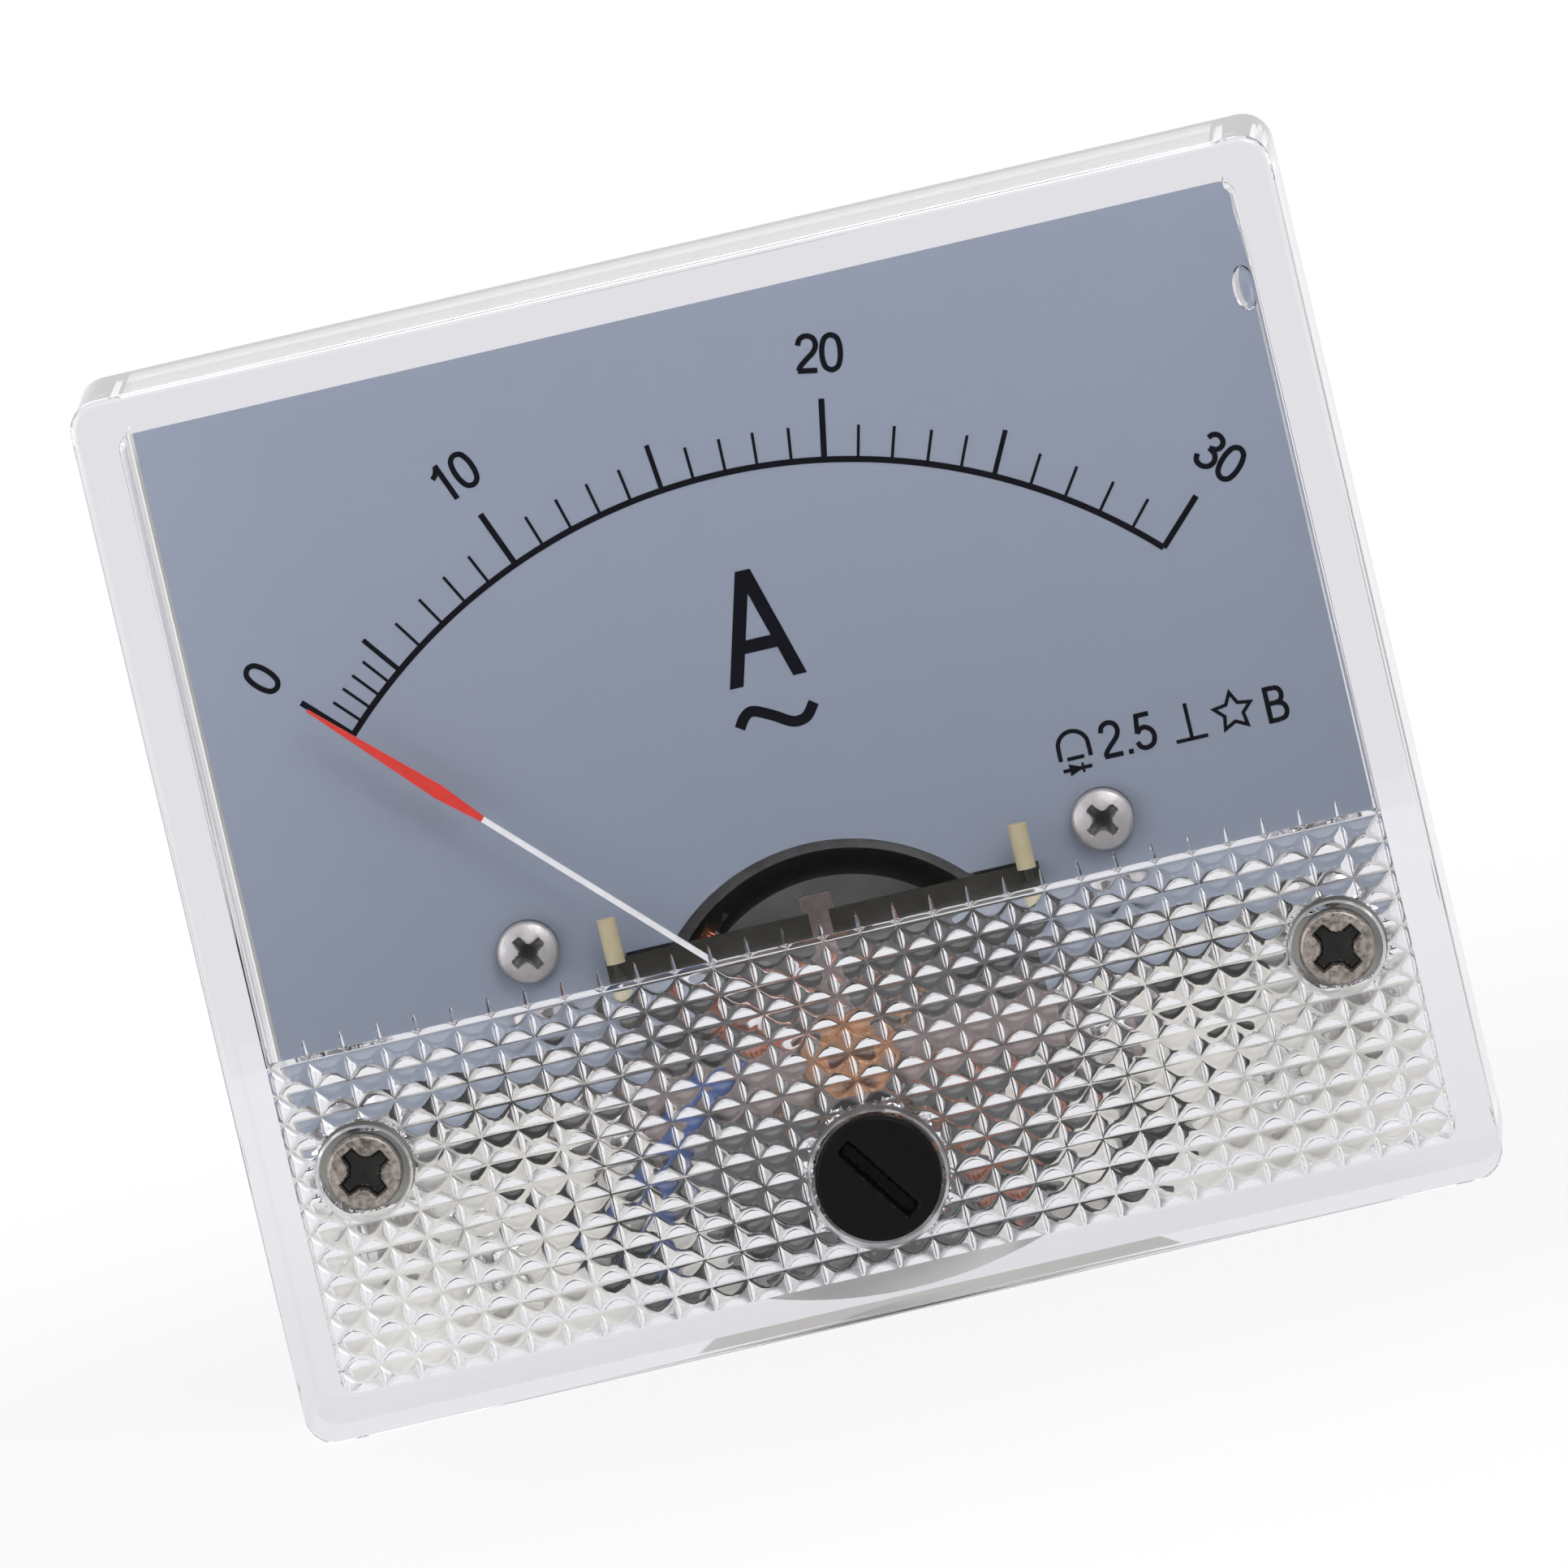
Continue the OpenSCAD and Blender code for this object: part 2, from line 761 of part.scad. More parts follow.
module front_jewel_screw() {
    jewel_screw(front_screw_back, front_screw_len, -1);
}

module rear_jewel_screw() {
    jewel_screw(rear_screw_front, rear_screw_len, 1);
}

module front_jewel() {
    jewel(front_screw_back, -1);
}

module rear_jewel() {
    jewel(rear_screw_front, 1);
}

module locknut(y0) {
    color([0.8, 0.66, 0.35])
        difference() {
            hex_rod(locknut_af, y0, y0 + locknut_t, 0, pivot_z);
            rod(jewel_screw_d + 2 * fit, y0 - eps, y0 + locknut_t + eps, 0, pivot_z);
        }
}

module front_locknut() {
    locknut(lever_front - seat_gap - locknut_t);
}

module rear_locknut() {
    locknut(holder_back);
}

// ---- pointer stops ----

// folded strip across the movement, with a wire standing up at each end
module stop_bracket() {
    strip_h = strip_high - strip_low;
    tab_w = strip_tab_out - strip_tab_in;
    foot_front = stop_y - sleeve_d / 2;
    wire_z = strip_low + stop_foot_h / 2;
    color([0.42, 0.4, 0.28])
        union() {
            translate([-strip_end, strip_front, strip_low])
                cube([2 * strip_end, strip_back - strip_front, strip_h]);
            for (side = [-1, 1]) {
                translate([side * (strip_tab_in + tab_w / 2) - tab_w / 2, strip_front, strip_low])
                    cube([tab_w, frame_front - strip_front, strip_h - strip_tab_trim]);
                translate([side * stop_x - stop_foot_w / 2, foot_front, strip_low])
                    cube([stop_foot_w, strip_back - foot_front, stop_foot_h]);
                translate([side * stop_x, stop_y, wire_z])
                    cylinder(d = stop_wire_d, h = pivot_z + stop_top_rise - stop_wire_bare - wire_z);
            }
        }
}

module stop_sleeves() {
    color([0.86, 0.8, 0.58])
        pair(stop_x)
            translate([0, stop_y, pivot_z + stop_top_rise - sleeve_len])
                difference() {
                    cylinder(d = sleeve_d, h = sleeve_len);
                    translate([0, 0, -eps])
                        cylinder(d = stop_wire_d + 2 * fit, h = sleeve_len + 2 * eps);
                }
}

// ---- moving element ----

module coil_box(half, w, y0, y1) {
    translate([-w / 2, y0, -half])
        cube([w, y1 - y0, 2 * half]);
}

module coil_former() {
    color([0.75, 0.76, 0.78])
        at_pivot(-sweep)
            difference() {
                coil_box(former_out, former_w, former_front, former_back);
                coil_box(former_in, former_w + 1, magnet_front - end_gap, magnet_back + end_gap);
            }
}

module coil_winding() {
    color([0.72, 0.33, 0.16])
        at_pivot(-sweep)
            difference() {
                coil_box(winding_out, winding_w, winding_front, winding_back);
                coil_box(former_out, winding_w + 1, former_front, former_back);
            }
}

// a staff on the coil's end at y = foot, pointing along way to its tip
module staff(foot, tip, way) {
    shoulder = tip - way * (tip_len + tip_neck);
    neck = tip - way * tip_len;
    disc = foot + way * disc_t;
    color([0.75, 0.75, 0.77])
        union() {
            rod(disc_d, min(foot, disc), max(foot, disc), 0, pivot_z);
            rod(staff_d, min(foot, shoulder), max(foot, shoulder), 0, pivot_z);
            rod(tip_d, min(shoulder, neck), max(shoulder, neck), 0, pivot_z);
            if (way > 0)
                cone_rod(tip_d, tip_point_d, neck, tip, 0, pivot_z);
            else
                cone_rod(tip_point_d, tip_d, tip, neck, 0, pivot_z);
        }
}

module front_staff() {
    staff(winding_front, front_tip, -1);
}

module rear_staff() {
    staff(winding_back, rear_tip, 1);
}

module pointer() {
    color([0.9, 0.2, 0.15])
        at_pivot(-sweep)
            slab(pointer_front, pointer_back)
                difference() {
                    union() {
                        circle(d = cross_hub_d);
                        translate([-lance_w / 2, 0])
                            square([lance_w, spear_r + 1]);
                        polygon([[-lance_w / 2, spear_r], [lance_w / 2, spear_r],
                            [spear_w / 2, spear_wide_r], [spear_tip_w / 2, pointer_r],
                            [-spear_tip_w / 2, pointer_r], [-spear_w / 2, spear_wide_r]]);
                    }
                    circle(d = staff_d + 2 * fit);
                }
}

module balance_cross() {
    color([0.8, 0.66, 0.35])
        difference() {
            union() {
                rod(cross_hub_d, cross_y - cross_hub_t / 2, cross_y + cross_hub_t / 2, 0, pivot_z);
                for (turn = [90, 180, 270])
                    at_pivot(turn - sweep)
                        translate([0, cross_y, 0])
                            cylinder(d = arm_d, h = arm_r);
            }
            rod(staff_d + 2 * fit, cross_y - cross_hub_t, cross_y + cross_hub_t, 0, pivot_z);
        }
}

// turn, diameter and length of each weight: the tail's balances the pointer
module balance_weights() {
    color([0.8, 0.66, 0.35])
        for (w = [[90, weight_d, weight_len], [180, tail_weight_d, tail_weight_len],
                [270, weight_d, weight_len]])
            at_pivot(w[0] - sweep)
                translate([0, cross_y, weight_r - w[2] / 2])
                    difference() {
                        cylinder(d = w[1], h = w[2]);
                        translate([0, 0, -eps])
                            cylinder(d = arm_d + 2 * fit, h = w[2] + 2 * eps);
                    }
}

module front_hairspring() {
    color([0.7, 0.45, 0.2])
        spiral_strip(front_spring_y);
}

module rear_hairspring() {
    color([0.7, 0.45, 0.2])
        spiral_strip(rear_spring_y);
}

// a tab above the spring's outer end, its foot flat on the holder
module rear_spring_anchor() {
    low = spring_out + spring_t / 2 + fit;
    color([0.8, 0.66, 0.35])
        at_pivot()
            union() {
                translate([-spring_tab_w / 2, rear_spring_y - spring_h, low])
                    cube([spring_tab_w, holder_rim_back - rear_spring_y + spring_h, spring_tab_t]);
                translate([-spring_tab_w / 2, holder_rim_back - spring_tab_t, low])
                    cube([spring_tab_w, spring_tab_t, anchor_foot]);
            }
}

// ---- zero adjustment ----

module zero_lever() {
    fork_low = -lever_pin_r - crank - fork_slot_h / 2;
    tab_low = spring_out + spring_t / 2 + fit;
    color([0.78, 0.7, 0.68])
        at_pivot()
            union() {
                slab(lever_front, lever_back)
                    difference() {
                        union() {
                            circle(d = lever_ring_d);
                            translate([-lever_arm_w / 2, 0])
                                square([lever_arm_w, lever_top_r]);
                            translate([-lever_top_w / 2, lever_top_r - lever_top_h])
                                square([lever_top_w, lever_top_h]);
                            translate([-lever_fork_w / 2, fork_low])
                                square([lever_fork_w, -fork_low]);
                        }
                        circle(d = jewel_screw_d + 2 * run);
                        translate([-fork_slot_w / 2, fork_low - eps])
                            square([fork_slot_w, fork_slot_h + crank + eps]);
                    }
                translate([-spring_tab_w / 2, lever_back - eps, tab_low])
                    cube([spring_tab_w, front_spring_y + spring_h - lever_back + eps,
                        spring_tab_t]);
            }
}

module zero_adjuster() {
    color([0.08, 0.08, 0.08])
        translate([0, 0, adjuster_z])
            difference() {
                union() {
                    rod(adjuster_d, adjuster_sink - cover_depth, adjuster_seat);
                    rod(adjuster_neck_d, adjuster_seat - eps, adjuster_end);
                    cone_rod(adjuster_collar_d, adjuster_neck_d, adjuster_collar_front, adjuster_end);
                    rod(crank_pin_d, adjuster_end - eps, lever_back + seat_gap / 2, 0, crank);
                }
                translate([-adjuster_d / 2, adjuster_collar_front - 1, adjuster_split_low])
                    cube([adjuster_d, adjuster_collar_t + 1 + seat_gap, adjuster_split]);
                translate([0, adjuster_sink - cover_depth + adjuster_slot_depth / 2 - eps, 0])
                    rotate([0, slot_angle, 0])
                        cube([adjuster_slot_len, adjuster_slot_depth, adjuster_slot_w],
                            center = true);
            }
}

// ---- terminals and electrics ----

module terminal_studs() {
    seat = barrel_end - link_t;
    color([0.82, 0.68, 0.36])
        pair(stud_x)
            union() {
                hex_rod(stud_head_af, seat - stud_head_t, seat, 0, 0);
                rod(stud_d, seat - eps, barrel_len + stud_reach);
            }
}

module terminal_washer(y0) {
    difference() {
        rod(terminal_washer_d, y0, y0 + terminal_washer_t);
        rod(stud_d + 2 * slip, y0 - eps, y0 + terminal_washer_t + eps);
    }
}

module terminal_nut(y0) {
    difference() {
        hex_rod(terminal_nut_af, y0, y0 + terminal_nut_t, 0, 0);
        rod(stud_d + 2 * fit, y0 - eps, y0 + terminal_nut_t + eps);
    }
}

washer_a = barrel_len + terminal_boss_t;
nut_a = washer_a + terminal_washer_t;
washer_b = nut_a + terminal_nut_t;
lock_b = washer_b + terminal_washer_t;
nut_b = lock_b + lock_washer_t;

module terminal_washers() {
    color([0.82, 0.7, 0.4])
        pair(stud_x)
            for (y0 = [washer_a, washer_b])
                terminal_washer(y0);
}

module terminal_spring_washers() {
    color([0.6, 0.6, 0.6])
        pair(stud_x)
            difference() {
                rod(lock_washer_d, lock_b, nut_b);
                rod(stud_d + 2 * slip, lock_b - eps, nut_b + eps);
                translate([lock_washer_d / 2, (lock_b + nut_b) / 2, 0])
                    rotate([30, 0, 0])
                        cube([lock_washer_d, 3, 0.5], center = true);
            }
}

module terminal_nuts() {
    color([0.82, 0.68, 0.36])
        pair(stud_x)
            for (y0 = [nut_a, nut_b])
                terminal_nut(y0);
}

module primary_link() {
    seat = barrel_end - link_t;
    color([0.78, 0.42, 0.24])
        difference() {
            union() {
                for (side = [-1, 1]) {
                    rod(lug_d, seat, barrel_end, side * stud_x);
                    translate([side * (stud_x + link_leg_x) / 2, seat + link_t / 2, 0])
                        cube([stud_x - link_leg_x + link_t, link_t, link_w], center = true);
                    translate([side * link_leg_x, (transformer_y - link_t / 2 + barrel_end) / 2, 0])
                        cube([link_t, barrel_end - transformer_y + link_t / 2, link_w],
                            center = true);
                }
                translate([0, transformer_y, 0])
                    cube([2 * link_leg_x + link_t, link_t, link_w], center = true);
            }
            pair(stud_x)
                rod(stud_d + 2 * slip, seat - eps, barrel_end + eps);
        }
}

// ring about an axis along X at the transformer's middle
module x_ring(r_out, r_in, half) {
    translate([0, transformer_y, 0])
        rotate([0, 90, 0])
            difference() {
                cylinder(r = r_out, h = 2 * half, center = true);
                cylinder(r = r_in, h = 2 * half + 1, center = true);
            }
}

module transformer_core() {
    color([0.35, 0.36, 0.38])
        x_ring(winding_r - core_skin, winding_hole_r + core_skin, winding_x - core_skin);
}

module transformer_winding() {
    color([0.72, 0.33, 0.16])
        difference() {
            x_ring(winding_r, winding_hole_r, winding_x);
            x_ring(winding_r - core_skin, winding_hole_r + core_skin, winding_x - core_skin);
        }
}

module rectifier_board() {
    color([0.2, 0.42, 0.24])
        difference() {
            translate([-board_x, board_front, board_low])
                cube([2 * board_x, board_t, board_high - board_low]);
            pair(post_x)
                rod(board_screw_d + 2 * slip, board_front - eps, board_back + eps, 0, post_z);
        }
}

module board_screws() {
    color([0.7, 0.7, 0.68])
        pair(post_x)
            screw(board_screw_d, board_head_d, board_head_t, board_t + board_post - board_screw_inset,
                board_front, 0, post_z);
}

// an axial part on the board: a body along Z and two wires bent down to the board
module axial_part(d, len, reach) {
    centre_y = board_front - part_lift - d / 2;
    translate([0, centre_y, -len / 2])
        cylinder(d = d, h = len);
    translate([0, centre_y, -len / 2 - reach])
        cylinder(d = part_lead_d, h = len + 2 * reach);
    for (z = [-len / 2 - reach, len / 2 + reach])
        rod(part_lead_d, centre_y, board_front, 0, z);
}

module diodes() {
    color([0.12, 0.12, 0.12])
        for (k = [-1.5 : 1 : 1.5])
            translate([k * diode_pitch, 0, diode_z])
                axial_part(diode_d, diode_len, diode_reach);
}

module resistor() {
    color([0.35, 0.55, 0.7])
        translate([0, 0, resistor_z])
            rotate([0, 90, 0])
                axial_part(resistor_d, resistor_len, resistor_reach);
}

module winding_leads() {
    color([0.72, 0.33, 0.16])
        for (side = [-1, 1])
            lead([for (p = winding_route) [side * p[0], p[1], p[2]]], fine_lead_r);
}

module blue_lead() {
    color([0.12, 0.25, 0.65])
        lead(blue_route, lead_r);
}

module red_lead() {
    color([0.75, 0.1, 0.08])
        lead(red_route, lead_r);
}

front_cover();
base();
dial_plate();
dial_screws();
mounting_screws();
zero_adjuster();
zero_lever();
movement_frame();
frame_screws();
yoke_ring();
core_magnet();
magnet_holder();
front_bridge();
movement_screws();
front_jewel_screw();
front_jewel();
front_locknut();
rear_jewel_screw();
rear_jewel();
rear_locknut();
stop_bracket();
stop_sleeves();
coil_former();
coil_winding();
front_staff();
rear_staff();
pointer();
balance_cross();
balance_weights();
front_hairspring();
rear_hairspring();
rear_spring_anchor();
terminal_studs();
terminal_washers();
terminal_spring_washers();
terminal_nuts();
primary_link();
transformer_core();
transformer_winding();
rectifier_board();
board_screws();
diodes();
resistor();
winding_leads();
blue_lead();
red_lead();
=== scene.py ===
"""Looks of an analog panel ammeter: clear patterned cover, printed dial, movement, screws and terminals."""
import math

import bmesh
import bpy
import numpy as np
from mathutils import Matrix, Vector


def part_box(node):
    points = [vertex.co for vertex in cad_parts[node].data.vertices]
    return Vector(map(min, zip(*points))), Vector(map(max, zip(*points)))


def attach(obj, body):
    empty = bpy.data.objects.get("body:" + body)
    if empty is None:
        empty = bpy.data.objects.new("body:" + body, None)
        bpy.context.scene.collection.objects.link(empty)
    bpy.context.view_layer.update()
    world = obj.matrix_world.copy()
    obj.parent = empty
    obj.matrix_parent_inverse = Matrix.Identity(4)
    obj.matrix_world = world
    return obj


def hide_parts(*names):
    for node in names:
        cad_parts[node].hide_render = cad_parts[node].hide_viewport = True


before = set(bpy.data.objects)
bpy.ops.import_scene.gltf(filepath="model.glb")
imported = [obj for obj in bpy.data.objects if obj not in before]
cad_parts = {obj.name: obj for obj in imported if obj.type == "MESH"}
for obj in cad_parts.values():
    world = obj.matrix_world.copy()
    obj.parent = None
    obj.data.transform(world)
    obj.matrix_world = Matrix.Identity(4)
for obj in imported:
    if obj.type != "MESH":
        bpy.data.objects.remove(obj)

bl_info = {
    "name": "Panel Ammeter Looks",
    "version": (1, 0, 0),
    "blender": (4, 5, 0),
    "location": "3D View > Sidebar > Meter",
    "description": "Builds the visible pieces, finishes and stage of an analog panel ammeter",
    "category": "Add Mesh",
}

MM = 0.001


def box_mm(node):
    """Lowest and highest corner of a CAD node, in millimetres."""
    low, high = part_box(node)
    return np.array(low) / MM, np.array(high) / MM


COVER, DIAL, MAGNET, ADJUSTER, STUDS, WASHERS, FORMER = (box_mm(node) for node in (
    "front_cover", "dial_plate", "core_magnet", "zero_adjuster", "terminal_studs", "terminal_washers", "coil_former"))
MOUNT_SCREWS, DIAL_SCREWS, FRAME_SCREWS, CLAMP_SCREWS, BOARD_SCREWS = (box_mm(node) for node in (
    "mounting_screws", "dial_screws", "frame_screws", "movement_screws", "board_screws"))

WINDOW_T = 2.0  # thickness of the window
RIM_GAP = 0.03  # keeps the cover's rear rim off the panel's plane, where the base lies
PANEL_HEAD_D = 4.0
REST_TURN = -45.0
SCREW_BOSS = (2.62, 3.0)  # radius of a screw's boss here and in the CAD
ADJUSTER_BOSS = (3.75, 4.0)
SCREW_POCKET, ADJUSTER_POCKET = 2.4, 3.55  # radius of the pockets' walls
BURIED = 0.06  # how far the pattern's lowest parts lie inside the window
ROOT = 0.7  # how far the pattern's solid reaches into the window
RUN_OUT = 1.3  # length of the upright ridges above the top row

PIVOT_Z = float(MAGNET[0][2] + MAGNET[1][2]) / 2
ADJUSTER_Z = float(ADJUSTER[0][2] + ADJUSTER[1][2]) / 2
FACE_Y = float(COVER[0][1])
WINDOW_BACK = FACE_Y + WINDOW_T
DIAL_Y = float(DIAL[0][1])
SCREW_X = (MOUNT_SCREWS[1][0] - MOUNT_SCREWS[0][0] - PANEL_HEAD_D) / 2
SCREW_Z = float(MOUNT_SCREWS[0][2] + MOUNT_SCREWS[1][2]) / 2
BOSSES = ((-SCREW_X, SCREW_Z, *SCREW_BOSS), (SCREW_X, SCREW_Z, *SCREW_BOSS), (0, ADJUSTER_Z, *ADJUSTER_BOSS))


# ---- settings ----

def size(name, text, value, low, high, unit="NONE"):
    """A number that the panel shows."""
    return bpy.props.FloatProperty(name=name, description=text, default=value, min=low, max=high, unit=unit)


def count(name, text, value, low, high):
    """A whole number that the panel shows."""
    return bpy.props.IntProperty(name=name, description=text, default=value, min=low, max=high)


def colour(name, text, value):
    """A colour that the panel shows."""
    return bpy.props.FloatVectorProperty(
        name=name, description=text, subtype="COLOR", size=3, default=value, min=0, max=1)


class CoverSizes(bpy.types.PropertyGroup):
    cell_w: size("Cell width", "Width of a cell of the pattern, mm", 1.972, 1.0, 4.0)
    rows: count("Rows", "Rows of cells in the pattern", 12, 4, 20)
    columns: count("Columns", "Columns of cells in the pattern", 30, 9, 41)
    row_h: size("Row height", "Height of a row of the pattern, mm", 1.479, 1.0, 4.0)
    top: size("Pattern top", "Height of the top ridge above the barrel's axis, mm", -4.81, -15, 10)
    ridge_h: size("Ridge height", "Height of the ridges on the window's back, mm", 0.6, 0.1, 0.62)
    slope: size("Facet slope", "Rise of the upper and lower facets over their run", 0.84, 0.2, 1.5)
    side_slope: size("Side slope", "Rise of the left and right facets over their run", 0.75, 0.2, 1.5)
    edge_r: size("Edge radius", "Radius of the cover's front edge, mm", 0.35, 0.05, 1.0)


class DialSizes(bpy.types.PropertyGroup):
    arc_r: size("Arc radius", "Radius of the scale's arc, mm", 30.7, 20, 34)
    arc_w: size("Arc width", "Line width of the scale's arc, mm", 0.33, 0.1, 0.6)
    major_r: size("Long mark", "Outer radius of the long marks, mm", 33.9, 31, 36)
    mid_r: size("Middle mark", "Outer radius of the middle marks, mm", 33.2, 31, 36)
    minor_r: size("Short mark", "Outer radius of the short marks, mm", 32.5, 31, 36)
    figure_r: size("Figure radius", "Radius of the middle of the figures, mm", 36.3, 33, 40)
    figure_h: size("Figure height", "Height of the figures, mm", 2.1, 1, 4)


class Colours(bpy.types.PropertyGroup):
    dial: colour("Dial", "Paint of the dial", (0.276, 0.315, 0.386))
    ink: colour("Ink", "Print on the dial", (0.002, 0.0025, 0.006))
    base: colour("Base", "Moulded base and barrel", (0.73, 0.72, 0.655))
    clear: colour("Clear plastic", "Tint of the cover", (0.96, 0.96, 0.98))
    red: colour("Red", "Pointer's spear", (0.70, 0.035, 0.022))


class StageSizes(bpy.types.PropertyGroup):
    yaw: size("Yaw", "Camera's turn to the meter's right, degrees", 2.62, -180, 180)
    pitch: size("Pitch", "Camera's height above the face's normal, degrees", 5.88, -90, 90)
    roll: size("Roll", "Turn of the meter in the picture, degrees", 13.3, -180, 180)
    distance: size("Distance", "From the camera to the face", 2.0, 0.3, 5, "LENGTH")
    span: size("Span", "Width of the view at the face", 0.0815, 0.05, 0.5, "LENGTH")


# ---- meshes ----

def outward(points, faces):
    """Turns every face over if the closed surface's signed volume is negative.

    The volume is a sixth of the sum of a . (b x c) over the triangles, of which only the sign counts here.
    """
    volume = 0.0
    for f in faces:
        a = points[f[:, 0]]
        for k in range(1, f.shape[1] - 1):
            volume += np.einsum("ij,ij->i", a, np.cross(points[f[:, k]], points[f[:, k + 1]])).sum()
    return (points, [f[:, ::-1] for f in faces]) if volume < 0 else (points, faces)


def join(*shells):
    """Several shells as one list of points and faces."""
    points, faces, start = [], [], 0
    for p, fs in shells:
        points.append(p)
        faces += [f + start for f in fs]
        start += len(p)
    return np.concatenate(points), faces


def mesh_from(name, points, faces):
    """A mesh from points in millimetres and arrays of three- or four-sided faces, its doubles merged."""
    mesh = bpy.data.meshes.new(name)
    mesh.vertices.add(len(points))
    mesh.vertices.foreach_set("co", (np.asarray(points, float) * MM).ravel())
    counts = np.concatenate([np.full(len(f), f.shape[1]) for f in faces])
    loops = np.concatenate([np.asarray(f).ravel() for f in faces])
    mesh.loops.add(len(loops))
    mesh.loops.foreach_set("vertex_index", loops)
    mesh.polygons.add(len(counts))
    mesh.polygons.foreach_set("loop_start", np.concatenate([[0], np.cumsum(counts)[:-1]]))
    mesh.update(calc_edges=True)
    clean = bmesh.new()
    clean.from_mesh(mesh)
    bmesh.ops.remove_doubles(clean, verts=clean.verts, dist=1e-8)
    clean.to_mesh(mesh)
    clean.free()
    return mesh


def add_piece(name, mesh, material, body, replaces, sharp):
    """Puts a finished mesh into the scene as a piece that rides on a body."""
    mesh.shade_smooth()
    mesh.set_sharp_from_angle(angle=math.radians(sharp))
    piece = put(name, mesh)
    mesh.materials.clear()
    mesh.materials.append(material)
    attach(piece, body)
    if replaces:
        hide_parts(*replaces)
    return piece


def add_shells(name, shells, key, sharp, node=None, body="housing"):
    """Adds closed shells as one piece in a named finish, in place of a CAD node if one is given."""
    mesh = mesh_from(name, *join(*shells))
    return add_piece(name, mesh, FINISHES[key], body, (node,) if node else (), sharp)


def put(name, data):
    """A new object in the scene."""
    item = bpy.data.objects.new(name, data)
    bpy.context.scene.collection.objects.link(item)
    return item


def grid_faces(rows, columns, wrap_rows=False, wrap_columns=False):
    """Four-sided faces of a grid of points stored row by row."""
    r = np.arange(rows if wrap_rows else rows - 1)
    c = np.arange(columns if wrap_columns else columns - 1)
    r, c = np.meshgrid(r, c, indexing="ij")
    r1, c1 = (r + 1) % rows, (c + 1) % columns
    return np.stack([r * columns + c, r * columns + c1, r1 * columns + c1, r1 * columns + c], -1).reshape(-1, 4)


def turns(sides):
    """The angles of a full turn in equal steps."""
    return np.linspace(0, 2 * math.pi, sides, endpoint=False)


def turned(x, z, turn):
    """Flat places in axes turned by an angle in degrees."""
    a = math.radians(turn)
    return x * math.cos(a) + z * math.sin(a), z * math.cos(a) - x * math.sin(a)


def skin(points, wrap_rows, wrap_columns, caps=()):
    """A closed surface over a grid of points, with caps where it would be open."""
    rows, columns = points.shape[:2]
    return outward(points.reshape(-1, 3), [grid_faces(rows, columns, wrap_rows, wrap_columns), *caps])


def lathe(profile, x=0.0, z=0.0, sides=64, ring=False):
    """A profile of (radius, y) turned about the line through (x, z) along Y; ring closes the profile on itself."""
    r, y = np.array(profile, float).T
    t = turns(sides)
    points = np.stack([x + np.outer(r, np.cos(t)), np.repeat(y[:, None], sides, 1), z + np.outer(r, np.sin(t))], -1)
    return skin(points, ring, True)


def rod(d, y0, y1, x=0.0, z=0.0, edge=0.1, sides=64):
    """A round bar along Y with its edges chamfered."""
    r = d / 2
    return lathe([(0, y0), (r - edge, y0), (r, y0 + edge), (r, y1 - edge), (r - edge, y1), (0, y1)], x, z, sides)


def thread(x, z, r, depth, pitch, y0, y1, sides=48, steps=8):
    """A threaded bar along Y.

    Its radius is r less depth times a triangle wave of y over the pitch less the turn, faded at both ends.
    """
    n = int((y1 - y0) / pitch * steps) + 1
    y = np.linspace(y0, y1, n)
    t = turns(sides)
    wave = np.abs(((y[:, None] / pitch - t[None, :] / (2 * math.pi)) % 1) * 2 - 1)
    wave = np.clip((wave - 0.12) / 0.76, 0, 1)
    fade = np.clip(np.minimum(y - y0, y1 - y) / (1.2 * pitch), 0, 1)[:, None]
    radius = r - depth * (1 - (1 - wave) * fade)
    points = np.stack([x + radius * np.cos(t), np.repeat(y[:, None], sides, 1), z + radius * np.sin(t)], -1)
    low = np.stack([np.full(sides, x), np.full(sides, y0), np.full(sides, z)], -1)
    high = low.copy()
    high[:, 1] = y1
    points = np.concatenate([low[None], points, high[None]])
    return skin(points, False, True)


def nut(af, bore, y0, y1, x, z, sides=96):
    """A hexagonal nut with a bore.

    The radius to the flats is af / 2 over the cosine of the turn from the flat. A 30 degree cone trims the corners.
    """
    t = turns(sides)
    flat = af / 2 / np.cos((t + math.pi / 6) % (math.pi / 3) - math.pi / 6)
    cone = (flat - 0.95 * af / 2).clip(0) * math.tan(math.radians(30))
    inner = np.full(sides, bore)
    wide = inner + 0.15
    face = np.full(sides, 0.95 * af / 2)
    rings = [(inner, y0 + 0.15), (wide, y0), (face, y0), (flat, y0 + cone), (flat, y1 - cone), (face, y1), (wide, y1),
        (inner, y1 - 0.15)]
    points = np.stack([np.stack([x + r * np.cos(t), np.broadcast_to(y, sides), z + r * np.sin(t)], -1) for r,
        y in rings])
    return skin(points, True, True)


def smooth_route(points, steps):
    """A Catmull-Rom line through the points."""
    p = np.array(points, float)
    a, b, c, d = p[np.maximum(np.arange(len(p) - 1) - 1, 0)], p[:-1], p[1:], p[np.minimum(np.arange(len(p) - 1) + 2,
        len(p) - 1)]
    s = (np.arange(steps) / steps)[None, :, None]
    a, b, c, d = (q[:, None, :] for q in (a, b, c, d))
    line = b + s * (c - a) / 2 + s * s * (a - 2.5 * b + 2 * c - d / 2) + s ** 3 * (-a / 2 + 1.5 * b - 1.5 * c + d / 2)
    return np.concatenate([line.reshape(-1, 3), p[-1:]])


